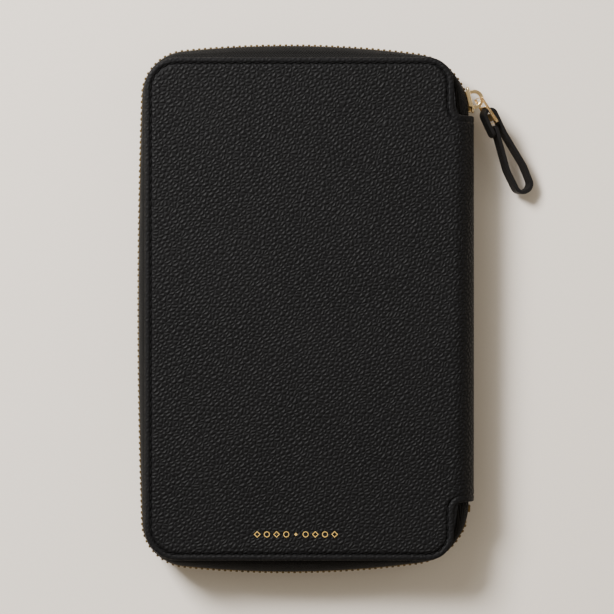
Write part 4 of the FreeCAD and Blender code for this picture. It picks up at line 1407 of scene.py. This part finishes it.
def pocketSlider():
    low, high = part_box("pocket_slider")
    plate = 0.7 * mm
    lugTop = high.z - 1.6 * mm
    middle = (low.x + high.x) / 2
    bm = bmesh.new()
    r = 1.2 * mm
    sides, radii = (low.x, high.x, low.y, high.y), (r * 1.4, r, r, r * 1.4)
    panel(bm, sides, radii, low.z, low.z + plate, 0.2 * mm)
    panel(bm, sides, radii, lugTop - plate, lugTop, 0.25 * mm)
    for y0, y1 in ((low.y, low.y + plate), (high.y - plate, high.y)):
        addBox(bm, low.x + r, high.x - r, y0, y1, lugTop - 1.5 * mm, lugTop - 0.2 * mm, 0.18 * mm, 3)
    addBox(bm, high.x - 1.5 * mm, high.x - 0.1 * mm, zipY - 0.6 * mm, zipY + 0.6 * mm, low.z + 0.2 * mm,
        lugTop - 0.2 * mm, 0.2 * mm, 2)
    pinZ = joints["pocket_puller_lift"]["pos_m"][2]
    for x in (middle - 1.2 * mm, middle + 1.2 * mm):
        addBox(bm, x - 0.45 * mm, x + 0.45 * mm, zipY - 0.6 * mm, zipY + 0.6 * mm, lugTop - 0.1 * mm,
            high.z, 0.25 * mm, 3)
    addBox(bm, middle - 1.5 * mm, middle + 1.5 * mm, zipY - 0.6 * mm, zipY + 0.6 * mm, pinZ + 0.55 * mm,
        high.z, 0.12 * mm, 2)
    made = addPiece("pocketSlider", bm, paleGold, crease=40)
    settle(made, "pocket_slider", "small_stops", "pocket_slider")


def pocketPuller():
    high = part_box("pocket_puller")[1]
    pin = joints["pocket_puller_lift"]["pos_m"]
    half, thick = 2.0 * mm, 0.4 * mm
    reach = 2.6 * mm
    bm = bmesh.new()
    for side in (-1, 1):
        y0, y1 = sorted((zipY + side * 0.8 * mm, zipY + side * half))
        addBox(bm, pin[0] - 0.6 * mm, pin[0] + reach + 0.4 * mm, y0, y1, pin[2] - thick, pin[2] + thick,
            0.2 * mm, 3)
    slab(bm, [(pin[0] + reach, zipY - half, 0), (high.x, zipY - half * 0.8, 1.3 * mm),
        (high.x, zipY + half * 0.8, 1.3 * mm), (pin[0] + reach, zipY + half, 0)],
        pin[2] - thick, pin[2] + thick, 0.2 * mm)
    rod = bmesh.new()
    turn = Matrix.Rotation(math.pi / 2, 4, "X")
    bmesh.ops.create_cone(rod, cap_ends=True, segments=16, radius1=0.48 * mm, radius2=0.48 * mm,
        depth=2 * half - 0.2 * mm, matrix=Matrix.Translation((pin[0], zipY, pin[2])) @ turn)
    addInto(bm, rod)
    made = addPiece("pocketPuller", bm, paleGold, crease=40)
    settle(made, "pocket_puller", "small_stops", "pocket_puller")


pocketZip()
pocketSlider()
pocketPuller()
for side, word in ((1, "front"), (-1, "back")):
    runs = [(path, caseTop - z if side > 0 else z, *more) for path, z, *more in pocketSeams[side]]
    stitchPiece(word + "PocketStitches", word + "_cover", runs, greyThread)
for node in ("front_cover_board", "back_cover_board", "spine_board"):
    materials = frame["nodes"][node].data.materials
    materials.clear()
    materials.append(greyBoard)
print("inside ready")
